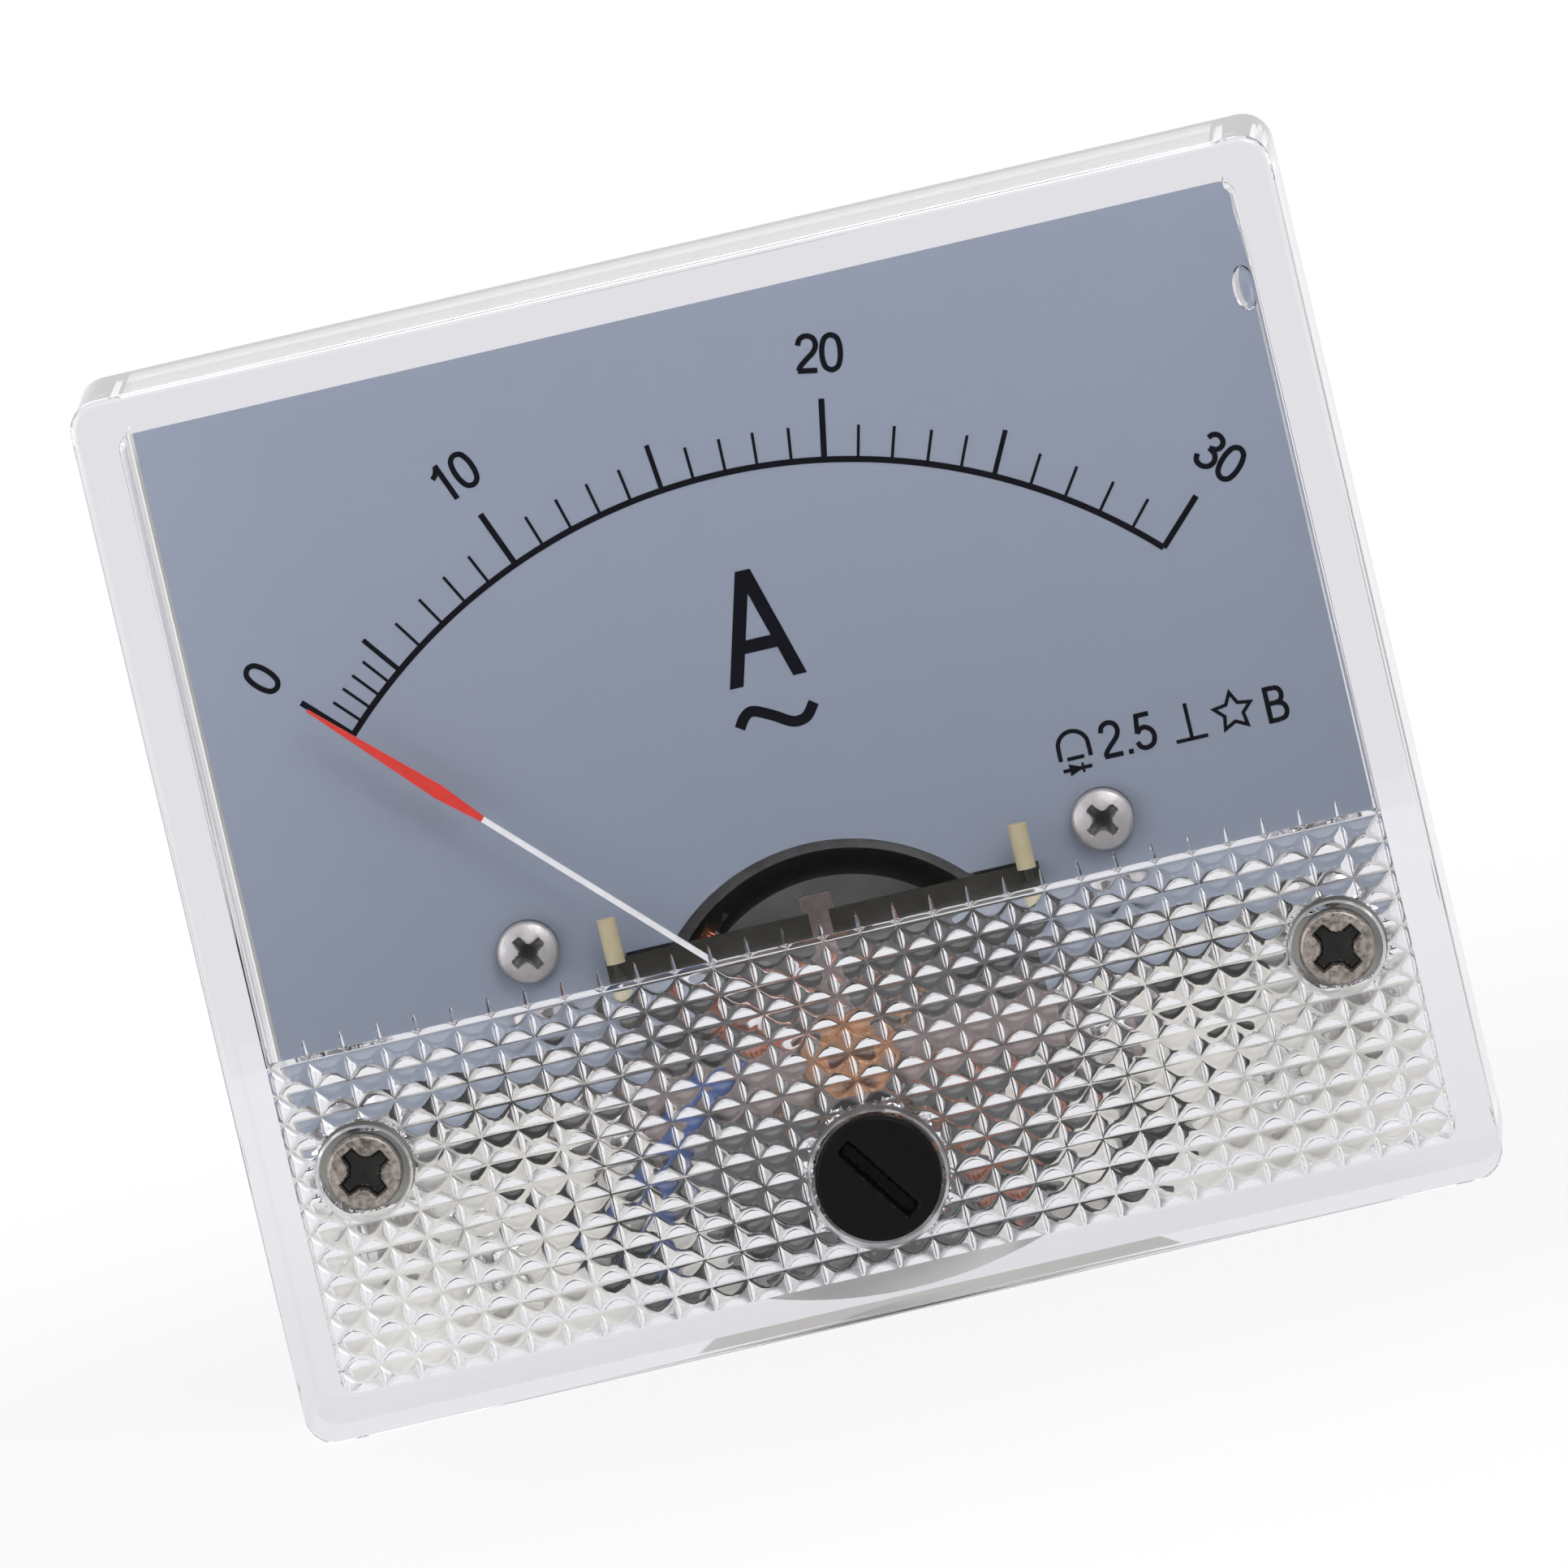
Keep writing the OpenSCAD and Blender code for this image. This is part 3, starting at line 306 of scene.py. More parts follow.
def tube(route, radius, sides=16, steps=8):
    """A round lead: a circle carried along the route's smooth line, set by the direction the route uses least."""
    line = smooth_route(route, steps)
    way = np.gradient(line, axis=0)
    way /= np.linalg.norm(way, axis=1)[:, None]
    side = np.cross(way, np.linalg.svd(way, full_matrices=False)[2][2])
    side /= np.linalg.norm(side, axis=1)[:, None]
    up = np.cross(way, side)
    t = turns(sides)
    ring = line[:, None] + radius * (np.cos(t)[None, :, None] * side[:, None] + np.sin(t)[None, :, None] * up[:,
        None])
    ends = [np.repeat(line[i][None, None], sides, 1) for i in (0, -1)]
    points = np.concatenate([ends[0], ring, ends[1]])
    return skin(points, False, True)


def round_head(x, z, d, front, back, edge, cut, n=41, dome=0.0):
    """A round head along Y, with its side and back.

    A square grid is eased onto the disc by u sqrt(1 - v v / 2). It is domed by the radius squared, rounded at its rim
    and sunk by cut(x, z), whichever of the dome and the cut is deeper.
    """
    r = d / 2
    s = np.linspace(-1, 1, n)
    s = np.sign(s) * (1 - (1 - np.abs(s)) ** 1.35)
    u, v = np.meshgrid(s, s, indexing="ij")
    px, pz = r * u * np.sqrt(1 - v * v / 2), r * v * np.sqrt(1 - u * u / 2)
    rho = np.hypot(px, pz)
    over = np.clip(rho - (r - edge), 0, edge)
    y = front + edge - np.sqrt(np.maximum(edge * edge - over * over, 0)) + np.maximum(cut(px, pz),
        dome * (rho / r) ** 2)
    top = np.stack([x + px, y, z + pz], -1).reshape(-1, 3)
    index = np.arange(n * n).reshape(n, n)
    rim = np.concatenate([index[0, :-1], index[:-1, -1], index[-1, :0:-1], index[:0:-1, 0]])
    side = top[rim].copy()
    side[:, 1] = back
    middle = np.array([[x, back, z]])
    m, base = len(rim), n * n
    k = np.arange(m)
    walls = np.stack([rim[k], rim[(k + 1) % m], base + (k + 1) % m, base + k], -1)
    under = np.stack([base + k, base + (k + 1) % m, np.full(m, base + m)], -1)
    return outward(np.concatenate([top, side, middle]), [grid_faces(n, n)[:, ::-1], walls, under])


def cross_cut(span, width, depth, turn):
    """Depth of a cross recess: a smooth step of the distance inside either wing, which tapers and rises outwards."""
    def cut(x, z):
        u, v = turned(x, z, turn)
        taper = 1 - 0.25 * np.hypot(u, v) / (span / 2)
        one = np.maximum(np.abs(v) - width / 2 * taper, np.abs(u) - span / 2)
        two = np.maximum(np.abs(u) - width / 2 * taper, np.abs(v) - span / 2)
        corner = np.abs(u) + np.abs(v) - 1.2 * width
        inside = np.clip(-np.minimum(np.minimum(one, two), corner) / (0.18 * width) + 0.35, 0, 1)
        return depth * inside * inside * (3 - 2 * inside) * np.clip(taper, 0.6, 1)
    return cut


def slot_cut(length, width, depth, turn):
    """Depth of a straight slot turned in the plane of the head."""
    def cut(x, z):
        u, v = turned(x, z, turn)
        far = np.maximum(np.abs(v) - width / 2, np.abs(u) - length / 2)
        inside = np.clip(-far / 0.08 + 0.5, 0, 1)
        return depth * inside
    return cut


def ribbon(path, width, front, back, closed=False):
    """A flat strip of one width along an (x, z) path, mitred at its corners, from y = front to y = back."""
    p = np.array(path, float)
    step = np.roll(p, -1, 0) - p if closed else np.diff(p, axis=0)
    step /= np.linalg.norm(step, axis=1)[:, None]
    normal = np.stack([-step[:, 1], step[:, 0]], -1)
    if closed:
        before, after = np.roll(normal, 1, 0), normal
    else:
        before = np.concatenate([normal[:1], normal])
        after = np.concatenate([normal, normal[-1:]])
    mitre = before + after
    mitre /= np.maximum(np.linalg.norm(mitre, axis=1), 1e-6)[:, None]
    mitre /= np.maximum((mitre * after).sum(1), 0.35)[:, None]
    left, right = p + mitre * width / 2, p - mitre * width / 2
    rings = [np.insert(q, 1, y, axis=1) for q, y in ((left, front), (right, front), (right, back), (left, back))]
    points = np.stack(rings, 1).reshape(-1, 3)
    faces = [grid_faces(len(p), 4, closed, True)]
    if not closed:
        last = 4 * (len(p) - 1)
        faces.append(np.array([[3, 2, 1, 0], [last, last + 1, last + 2, last + 3]]))
    return outward(points, faces)


def plate(outline, front, back):
    """A flat convex shape with the given (x, z) outline, from y = front to y = back."""
    p = np.array(outline, float)
    n = len(p)
    points = np.concatenate([np.insert(p, 1, y, axis=1) for y in (front, back)])
    k = np.arange(n)
    walls = np.stack([k, (k + 1) % n, n + (k + 1) % n, n + k], -1)
    fan = np.stack([np.zeros(n - 2, int), k[1:-1], k[2:]], -1)
    return outward(points, [walls, fan[:, ::-1], n + fan])


# ---- finishes ----

def new_material(name):
    """An empty material with its Principled shader and output."""
    material = bpy.data.materials.new(name)
    material.use_nodes = True
    tree = material.node_tree
    tree.nodes.clear()
    out = tree.nodes.new("ShaderNodeOutputMaterial")
    shader = tree.nodes.new("ShaderNodeBsdfPrincipled")
    tree.links.new(shader.outputs["BSDF"], out.inputs["Surface"])
    return material, tree, shader, out


def node(tree, kind, values=(), **options):
    """A shader node with its options set, and its inputs given as values or as sockets to link."""
    new = tree.nodes.new("ShaderNode" + kind)
    for key, value in options.items():
        setattr(new, key, value)
    for key, value in dict(values).items():
        if isinstance(value, bpy.types.NodeSocket):
            tree.links.new(value, new.inputs[key])
        else:
            new.inputs[key].default_value = value
    return new.outputs


def coordinates(tree):
    """The piece's own coordinates."""
    return node(tree, "TexCoord")["Object"]


def start_finish(name):
    """A new material, its tree, its shader and its coordinates."""
    material, tree, shader, _ = new_material(name)
    return material, tree, shader, coordinates(tree)


def axes(tree, vector):
    """The three numbers of a vector."""
    x, y, z = node(tree, "SeparateXYZ", {0: vector})
    return x, y, z


def noise(tree, vector, scale, detail=3.0, rough=0.55):
    """A noise field of the given scale."""
    values = {"Scale": scale, "Detail": detail, "Roughness": rough, "Vector": vector}
    return node(tree, "TexNoise", values)["Fac"]


def map_range(tree, source, limits, smooth=False):
    """Source carried from between the first two limits to between the last two."""
    values = dict(zip(("Value", "From Min", "From Max", "To Min", "To Max"), (source, *limits)))
    return node(tree, "MapRange", values, interpolation_type="SMOOTHSTEP" if smooth else "LINEAR")["Result"]


def spread_range(tree, source, low, high):
    """The middle part of a noise field mapped to low..high."""
    return map_range(tree, source, (0.3, 0.7, low, high))


def two_colours(tree, factor, a, b):
    """Mix of two colours, given as values or sockets."""
    node = tree.nodes.new("ShaderNodeMix")
    node.data_type = "RGBA"
    tree.links.new(factor, node.inputs["Factor"])
    for socket, value in ((node.inputs["A"], a), (node.inputs["B"], b)):
        if isinstance(value, bpy.types.NodeSocket):
            tree.links.new(value, socket)
        else:
            socket.default_value = (*value, 1)
    return node.outputs["Result"]


def bump(tree, shader, height, distance):
    """A bump of distance millimetres."""
    values = {"Distance": distance * MM, "Strength": 1.0, "Height": height}
    tree.links.new(node(tree, "Bump", values)["Normal"], shader.inputs["Normal"])


def maths(tree, operation, a, b=None):
    """A Math node on values or sockets."""
    values = {0: a} if b is None else {0: a, 1: b}
    return node(tree, "Math", values, operation=operation)[0]


def shades(colour, spread):
    """A darker and a lighter neighbour of a colour."""
    c = np.array(colour, float)
    return tuple(np.clip(c * (1 - spread), 0, 1)), tuple(np.clip(c * (1 + spread), 0, 1))


def mottled(tree, vector, colour, spread, scale, detail=3.0, rough=0.55):
    """A colour that noise takes from one of its neighbours to the other."""
    field = noise(tree, vector, scale, detail, rough)
    return two_colours(tree, spread_range(tree, field, 0, 1), *shades(colour, spread))


def set_colour(tree, shader, source):
    """Links the shader's colour."""
    tree.links.new(source, shader.inputs["Base Color"])


def set_rough(tree, shader, vector, scale, low, high, detail=3.0):
    """Roughness that noise takes from low to high."""
    tree.links.new(spread_range(tree, noise(tree, vector, scale, detail), low, high), shader.inputs["Roughness"])


def mix_surface(tree, out, factor, usual, other):
    """The output's surface: the usual shader, or the other one where the factor is one."""
    mix = node(tree, "MixShader", {0: factor, 1: usual, 2: other})
    tree.links.new(mix["Shader"], out.inputs["Surface"])


def finish(name, colour, rough, metallic=0.0, spread=0.08, grain=700.0, relief=0.0, relief_scale=4000.0, coat=0.0,
           subsurface=0.0, specular=0.5):
    """A finish whose colour, roughness and relief follow noise in the piece's own space."""
    material, tree, shader, vector = start_finish(name)
    set_colour(tree, shader, mottled(tree, vector, colour, spread, grain))
    set_rough(tree, shader, vector, grain * 2.3, rough - 0.06, rough + 0.06)
    shader.inputs["Metallic"].default_value = metallic
    shader.inputs["Specular IOR Level"].default_value = specular
    shader.inputs["Coat Weight"].default_value = coat
    if subsurface:
        shader.inputs["Subsurface Weight"].default_value = subsurface
        shader.inputs["Subsurface Scale"].default_value = 0.6 * MM
    if relief:
        bump(tree, shader, noise(tree, vector, relief_scale, 4.0), relief)
    return material


def base_finish(name, colour):
    """Moulded cream plastic, with a painted shadow line along the front of its top edge, for the shade in the gap to
    the cover.
    """
    shade_line_z, shade_line_y = (DIAL[1][2] - 0.1) * MM, -1.95 * MM
    material, tree, shader, vector = start_finish(name)
    _, y, z = axes(tree, vector)
    # painted shade: the front of the top edge, above the dial, is painted near black as the shadow in the gap
    line = maths(tree, "MULTIPLY", maths(tree, "GREATER_THAN", z, shade_line_z), maths(tree, "LESS_THAN", y, shade_line_y))
    set_colour(tree, shader, two_colours(tree, line, mottled(tree, vector, colour, 0.03, 250), (0.03, 0.03, 0.03)))
    set_rough(tree, shader, vector, 600, 0.44, 0.56)
    shader.inputs["Specular IOR Level"].default_value = 0.4
    bump(tree, shader, noise(tree, vector, 2500, 4.0), 0.01)
    return material


def clear_finish(name, tint):
    """Clear moulded plastic that bends what the eye sees and lets lamp light straight through.

    It is matt where the mesh's satin attribute is one.
    """
    material, tree, shader, out = new_material(name)
    shader.inputs["Base Color"].default_value = (*tint, 1)
    shader.inputs["Transmission Weight"].default_value = 1.0
    shader.inputs["IOR"].default_value = 1.54
    matt = maths(tree, "MULTIPLY", node(tree, "Attribute", attribute_name="satin")["Fac"], 0.45)
    gloss = spread_range(tree, noise(tree, coordinates(tree), 350), 0.0, 0.035)
    tree.links.new(maths(tree, "ADD", gloss, matt), shader.inputs["Roughness"])
    depth = node(tree, "VolumeAbsorption", {"Color": (0.715, 0.703, 0.754, 1), "Density": 45.0})
    tree.links.new(depth["Volume"], out.inputs["Volume"])
    through = node(tree, "BsdfTransparent", {"Color": (0.97, 0.97, 0.975, 1)})
    shadow = node(tree, "LightPath")["Is Shadow Ray"]
    mix_surface(tree, out, shadow, shader.outputs["BSDF"], through["BSDF"])
    return material


def shade_masked_finish(name, paint, bare, radius):
    """A casting darkened around the barrel's axis as painted shade for the inside of the barrel, with its outer ends
    left in the bare colour.
    """
    material, tree, shader, vector = start_finish(name)
    x, _, z = axes(tree, vector)
    far = maths(tree, "SQRT", maths(tree, "ADD", maths(tree, "MULTIPLY", x, x), maths(tree, "MULTIPLY", z, z)))
    wander = maths(tree, "MULTIPLY", noise(tree, vector, 600), 0.5 * MM)
    # painted shade: within the radius, give or take a wandering edge, the casting takes the dark colour
    outer = maths(tree, "GREATER_THAN", maths(tree, "ADD", far, wander), (radius + 0.25) * MM)
    inside, outside = mottled(tree, vector, paint, 0.2, 900), mottled(tree, vector, bare, 0.05, 900)
    set_colour(tree, shader, two_colours(tree, outer, inside, outside))
    set_rough(tree, shader, vector, 2000, 0.5, 0.65)
    bump(tree, shader, noise(tree, vector, 5000, 4.0), 0.02)
    return material


def screw_finish(name, colour, level, mottle):
    """Dull plated screws with painted shade in the recess: near black from a level along Y to 0.9 mm behind it."""
    material, tree, shader, vector = start_finish(name)
    _, y, _ = axes(tree, vector)
    deep = map_range(tree, y, (level * MM, (level + 0.3) * MM, 0.0, 1.0), smooth=True)
    # painted shade: the recess is painted near black and less metallic, for the shadow in it
    recess_shade = maths(tree, "MULTIPLY", deep, maths(tree, "LESS_THAN", y, (level + 0.9) * MM))
    plating = mottled(tree, vector, colour, mottle, 2600, 4.0, 0.7)
    set_colour(tree, shader, two_colours(tree, recess_shade, plating, (0.010, 0.009, 0.008)))
    metallic = maths(tree, "SUBTRACT", 0.85, maths(tree, "MULTIPLY", recess_shade, 0.55))
    tree.links.new(metallic, shader.inputs["Metallic"])
    set_rough(tree, shader, vector, 5200, 0.32, 0.52)
    bump(tree, shader, noise(tree, vector, 5000, 4.0), 0.02)
    return material


def dial_finish(name, colour):
    """Satin dial paint: lighter at the top and darker at the bottom as painted light, and a fine grain."""
    material, tree, shader, vector = start_finish(name)
    painted_light_rise = map_range(tree, axes(tree, vector)[2], (DIAL[0][2] * MM, DIAL[1][2] * MM, 0.0, 1.0))
    grain = spread_range(tree, noise(tree, vector, 9000, 2.0), 0, 1)
    tint = tree.nodes.new("ShaderNodeMix")
    tint.data_type = "RGBA"
    tint.blend_type = "MULTIPLY"
    tint.inputs["Factor"].default_value = 1.0
    # painted light: the paint grows lighter towards the top, where more light falls
    tree.links.new(two_colours(tree, painted_light_rise, *shades(colour, 0.13)), tint.inputs["A"])
    tree.links.new(two_colours(tree, grain, (0.96, 0.96, 0.96), (1.0, 1.0, 1.0)), tint.inputs["B"])
    set_colour(tree, shader, tint.outputs["Result"])
    set_rough(tree, shader, vector, 5000, 0.42, 0.5, 2.0)
    bump(tree, shader, noise(tree, vector, 7000, 2.0), 0.004)
    return material


def pointer_finish(name, red, white, radius):
    """Pointer paint: white out to a radius from the pivot, red beyond."""
    material, tree, shader, vector = start_finish(name)
    x, _, z = axes(tree, vector)
    up = maths(tree, "SUBTRACT", z, PIVOT_Z * MM)
    r2 = maths(tree, "ADD", maths(tree, "MULTIPLY", x, x), maths(tree, "MULTIPLY", up, up))
    beyond = maths(tree, "GREATER_THAN", r2, (radius * MM) ** 2)
    near, far = mottled(tree, vector, white, 0.05, 2500), mottled(tree, vector, red, 0.08, 2500)
    set_colour(tree, shader, two_colours(tree, beyond, near, far))
    set_rough(tree, shader, vector, 3000, 0.35, 0.5)
    return material


def banded_finish(name, body, bands, axis):
    """A lacquered body with colour bands between pairs of places along X (0) or Z (2), in millimetres."""
    material, tree, shader, vector = start_finish(name)
    along = axes(tree, vector)[axis]
    paint = mottled(tree, vector, body, 0.06, 1500)
    for low, high, shade in bands:
        after, before = maths(tree, "GREATER_THAN", along, low * MM), maths(tree, "LESS_THAN", along, high * MM)
        paint = two_colours(tree, maths(tree, "MULTIPLY", after, before), paint, shade)
    set_colour(tree, shader, paint)
    set_rough(tree, shader, vector, 2500, 0.25, 0.4)
    return material


def wound_finish(name, colour, pitch):
    """Enamelled wire laid side by side: fine ridges along Z, painted darker in the grooves and lighter on the tops as
    painted shade.
    """
    material, tree, shader, vector = start_finish(name)
    values = {"Scale": 1 / (pitch * MM) / 20 * math.pi, "Distortion": 0.6, "Vector": vector}
    wave = node(tree, "TexWave", values, bands_direction="Z")["Fac"]
    # painted shade: the colour follows the bump's wave, darker in the grooves between the wires
    set_colour(tree, shader, two_colours(tree, wave, *shades(colour, 0.3)))
    set_rough(tree, shader, vector, 1800, 0.22, 0.38)
    shader.inputs["Metallic"].default_value = 0.75
    shader.inputs["Coat Weight"].default_value = 0.4
    bump(tree, shader, wave, 0.04)
    return material


def jewel_finish(name):
    """Polished synthetic ruby."""
    material, tree, shader, vector = start_finish(name)
    set_colour(tree, shader, two_colours(tree, noise(tree, vector, 900), (0.55, 0.02, 0.09), (0.75, 0.05, 0.16)))
    shader.inputs["Roughness"].default_value = 0.08
    shader.inputs["Transmission Weight"].default_value = 0.6
    shader.inputs["IOR"].default_value = 1.76
    return material


def make_finishes():
    """Every finish of the meter, by name."""
    c = bpy.context.scene.meter_colours
    return {
        "clear": clear_finish("clear_plastic", c.clear),
        "cream": base_finish("cream_plastic", c.base),
        "dial": dial_finish("dial_paint", c.dial),
        "ink": finish("dial_ink", c.ink, 0.6, spread=0.3, grain=3000, specular=0.05),
        "plated": finish("plated_steel", (0.62, 0.61, 0.58), 0.28, 1.0, spread=0.1, grain=2500, relief=0.006,
            relief_scale=9000),
        "dull": screw_finish("dull_steel", (0.31, 0.275, 0.25), MOUNT_SCREWS[0][1] + 0.32, 0.6),
        "bright": screw_finish("bright_steel", (0.50, 0.48, 0.47), DIAL_SCREWS[0][1] + 0.5, 0.12),
        "black": finish("black_plastic", (0.0035, 0.0034, 0.003), 0.45, spread=0.25, grain=900, relief=0.008,
            relief_scale=5000, specular=0.12),
        "nickel": finish("nickel_silver", (0.22, 0.175, 0.165), 0.38, 1.0, spread=0.15, grain=2200, relief=0.006),
        # the dark colour within 18.5 mm of the barrel's axis is painted shade
        "casting": shade_masked_finish("dark_casting", (0.06, 0.06, 0.06), (0.72, 0.70, 0.62), 18.5),
        "iron": finish("soft_iron", (0.20, 0.20, 0.195), 0.5, 0.1, spread=0.2, grain=1200, relief=0.01),
        "magnet": finish("magnet_alloy", (0.11, 0.11, 0.107), 0.45, 0.1, spread=0.15, grain=800, relief=0.01,
            relief_scale=3000),
        "alloy": finish("cast_alloy", (0.16, 0.165, 0.17), 0.5, 0.7, spread=0.12, grain=900, relief=0.015),
        "brass": finish("yellow_brass", (0.74, 0.50, 0.19), 0.26, 1.0, spread=0.05, grain=1500, relief=0.002,
            relief_scale=8000),
        "olive": finish("olive_steel", (0.022, 0.019, 0.012), 0.45, 0.2, spread=0.25, grain=1500, relief=0.01),
        "sleeve": finish("yellow_sleeve", (0.48, 0.43, 0.27), 0.5, spread=0.06, grain=1500, subsurface=0.4),
        "aluminium": finish("bare_aluminium", (0.72, 0.73, 0.75), 0.3, 1.0, spread=0.08, grain=2000, relief=0.005),
        "steel": finish("hard_steel", (0.66, 0.66, 0.68), 0.15, 1.0, spread=0.05, grain=2500),
        "bronze": finish("bronze_strip", (0.70, 0.40, 0.16), 0.25, 1.0, spread=0.1, grain=2500),
        "brown": finish("brown_brass", (0.40, 0.19, 0.085), 0.3, 1.0, spread=0.2, grain=1500, relief=0.006),
        "copper": finish("bare_copper", (0.80, 0.36, 0.18), 0.3, 1.0, spread=0.12, grain=1200, relief=0.008),
        "wire": finish("copper_wire", (0.38, 0.11, 0.045), 0.3, 0.7, spread=0.15, grain=2500, coat=0.4),
        "wound": wound_finish("wound_wire", (0.55, 0.18, 0.07), 0.25),
        "board": finish("green_board", (0.035, 0.13, 0.055), 0.35, spread=0.12, grain=1800, coat=0.3, relief=0.006),
        "blue": finish("blue_sheath", (0.006, 0.045, 0.20), 0.4, spread=0.1, grain=900),
        "red": finish("red_sheath", (0.55, 0.02, 0.015), 0.4, spread=0.1, grain=900),
        "jewel": jewel_finish("red_jewel"),
        "pointer": pointer_finish("red_pointer", c.red, (0.85, 0.85, 0.85), 22.7),
        "diode": banded_finish("banded_diode", (0.012, 0.012, 0.012), [(17.0, 17.5, (0.7, 0.7, 0.7))], 2),
        "resistor": banded_finish("banded_resistor", (0.30, 0.44, 0.52), [
            (-2.3, -1.9, (0.4, 0.05, 0.02)), (-1.2, -0.8, (0.02, 0.02, 0.02)),
            (-0.2, 0.2, (0.5, 0.2, 0.02)), (1.7, 2.1, (0.6, 0.42, 0.1))], 0),
    }


FINISHES = {}


def dress(rows):
    """Gives CAD nodes their finishes, from a table of finish names and nodes."""
    for key, nodes in rows.items():
        for name in nodes:
            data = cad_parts[name].data
            data.materials.clear()
            data.materials.append(FINISHES[key])


# ---- cover ----

def merged_copy(node):
    """A welded copy of a CAD node's mesh, its flat facets joined."""
    work = bmesh.new()
    work.from_mesh(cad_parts[node].data)
    bmesh.ops.remove_doubles(work, verts=work.verts, dist=1e-7)
    bmesh.ops.dissolve_limit(work, angle_limit=math.radians(0.3), verts=work.verts, edges=work.edges)
    return work


def pattern_height(x, z, s):
    """Height of the window's back over its plain level.

    A cell is a pit between ridges: the height is the ridge's less the slope times the distance to the
    nearest ridge, up and down or sideways, whichever is less, with the ridge's top and the pit's hips rounded.
    The upright ridges also fall by 0.06 of a millimetre close to their top.
    Above the top row they run out in a quarter ellipse, and all the ridges stop at the bosses.
    """
    bottom = s.top - s.rows * s.row_h
    half_x, half_z = s.cell_w / 2, s.row_h / 2
    left = -s.columns * half_x
    dx = half_x - np.abs((x - left) % s.cell_w - half_x)
    dx = np.where(np.abs(x) > -left, np.abs(x) + left, dx)
    dz = half_z - np.abs((z - bottom) % s.row_h - half_z)
    dz = np.where(z < bottom, bottom - z, dz)
    above = np.maximum(z - s.top, 0)

    def fall(d, slope, soft=0.05):
        return slope * (np.sqrt(d * d + soft * soft) - soft)
    a, b = fall(dx, s.side_slope) + 0.06 * (1 - np.exp(-dx / 0.05)), fall(dz, s.slope)
    k = 0.05
    pit = k * math.log(2) * np.exp(-np.abs(a - b) / k) - np.logaddexp(-a / k, -b / k) * k
    h = s.ridge_h - pit
    run_out = np.clip(1 - (above / RUN_OUT) ** 2, 0, 1) ** 0.5 * (0.3 * s.ridge_h + 0.12) - BURIED - 1.9 * dx
    h = np.where(above > 0, np.maximum(s.ridge_h - fall(above, 2.0), run_out), h)
    for cx, cz, thin, _ in BOSSES:
        h = np.minimum(h, (np.hypot(x - cx, z - cz) - thin + 0.1) * 6 - BURIED)
    return np.maximum(h, -BURIED)


def nib(x, y, z, size, sides=24):
    """A small rounded lump: sphere points stretched to size, its poles along Y."""
    t = np.linspace(0, math.pi, sides // 2 + 1)
    p = turns(sides)
    points = np.stack([x + size[0] * np.outer(np.sin(t), np.cos(p)),
        y - size[1] * np.outer(np.cos(t), np.ones(sides)),
                       z + size[2] * np.outer(np.sin(t), np.sin(p))], -1)
    return skin(points, False, True)


def pattern_solid(s):
    """The pattern as a closed solid that reaches into the window.

    Its grid lines lie on the ridges, at steps that are closer near them, and each quarter cell is cut along its hip.
    """
    bottom = s.top - s.rows * s.row_h
    steps = np.array([0, 0.05, 0.12, 0.25, 0.42, 0.6])
    run_steps = np.array([0.05, 0.12, 0.25, 0.42, 0.6, 0.8, 0.95, 1.1, 1.2, 1.27, RUN_OUT, 1.4])
    half_x, half_z = s.cell_w / 2, s.row_h / 2
    left = -s.columns * half_x

    def lines(start, count, pitch):
        half = pitch / 2
        inner = np.concatenate([steps[steps < half - 0.05], [half]])
        cell = np.unique(np.round(np.concatenate([inner, pitch - inner]), 6))[:-1]
        return np.concatenate([start + i * pitch + cell for i in range(count)] + [[start + count * pitch]])
    x, z = lines(left, s.columns, s.cell_w), lines(bottom, s.rows, s.row_h)
    x = np.concatenate([x[0] - steps[:0:-1], x, x[-1] + steps[1:]])
    z = np.concatenate([z[0] - steps[2:0:-1], z, z[-1] + run_steps])
    gx, gz = np.meshgrid(x, z, indexing="ij")
    upper = np.stack([gx, WINDOW_BACK + pattern_height(gx, gz, s), gz], -1)
    nx, nz = gx.shape
    q = grid_faces(nx, nz)
    middle = upper.reshape(-1, 3)[q].mean(1)
    right = ((middle[:, 0] - left) % s.cell_w) > half_x
    high = ((middle[:, 2] - bottom) % s.row_h) > half_z
    rising = (right == high)[:, None]
    one = np.where(rising, q[:, [0, 1, 2]], q[:, [0, 1, 3]])
    two = np.where(rising, q[:, [0, 2, 3]], q[:, [1, 2, 3]])
    index = np.arange(nx * nz).reshape(nx, nz)
    rim = np.concatenate([index[0, :-1], index[:-1, -1], index[-1, :0:-1], index[:0:-1, 0]])
    low = upper.reshape(-1, 3)[rim].copy()
    low[:, 1] = WINDOW_BACK - ROOT
    m, n = len(rim), nx * nz
    k = np.arange(m)
    walls = np.stack([rim, n + k, n + (k + 1) % m, rim[(k + 1) % m]], -1)
    centre = np.array([[gx.mean(), WINDOW_BACK - ROOT, gz.mean()]])
    under = np.stack([n + k, np.full(m, n + m), n + (k + 1) % m], -1)
    return outward(np.concatenate([upper.reshape(-1, 3), low, centre]), [np.concatenate([one, two]), walls, under])


def combined(base, tool, operation):
    """The exact union or difference of two closed meshes."""
    objects = [put("work", m) for m in (base, tool)]
    modifier = objects[0].modifiers.new("combine", "BOOLEAN")
    modifier.operation = operation
    modifier.object = objects[1]
    modifier.solver = "EXACT"
    depsgraph = bpy.context.evaluated_depsgraph_get()
    result = bpy.data.meshes.new_from_object(objects[0].evaluated_get(depsgraph))
    for o in objects:
        bpy.data.objects.remove(o)
    return result


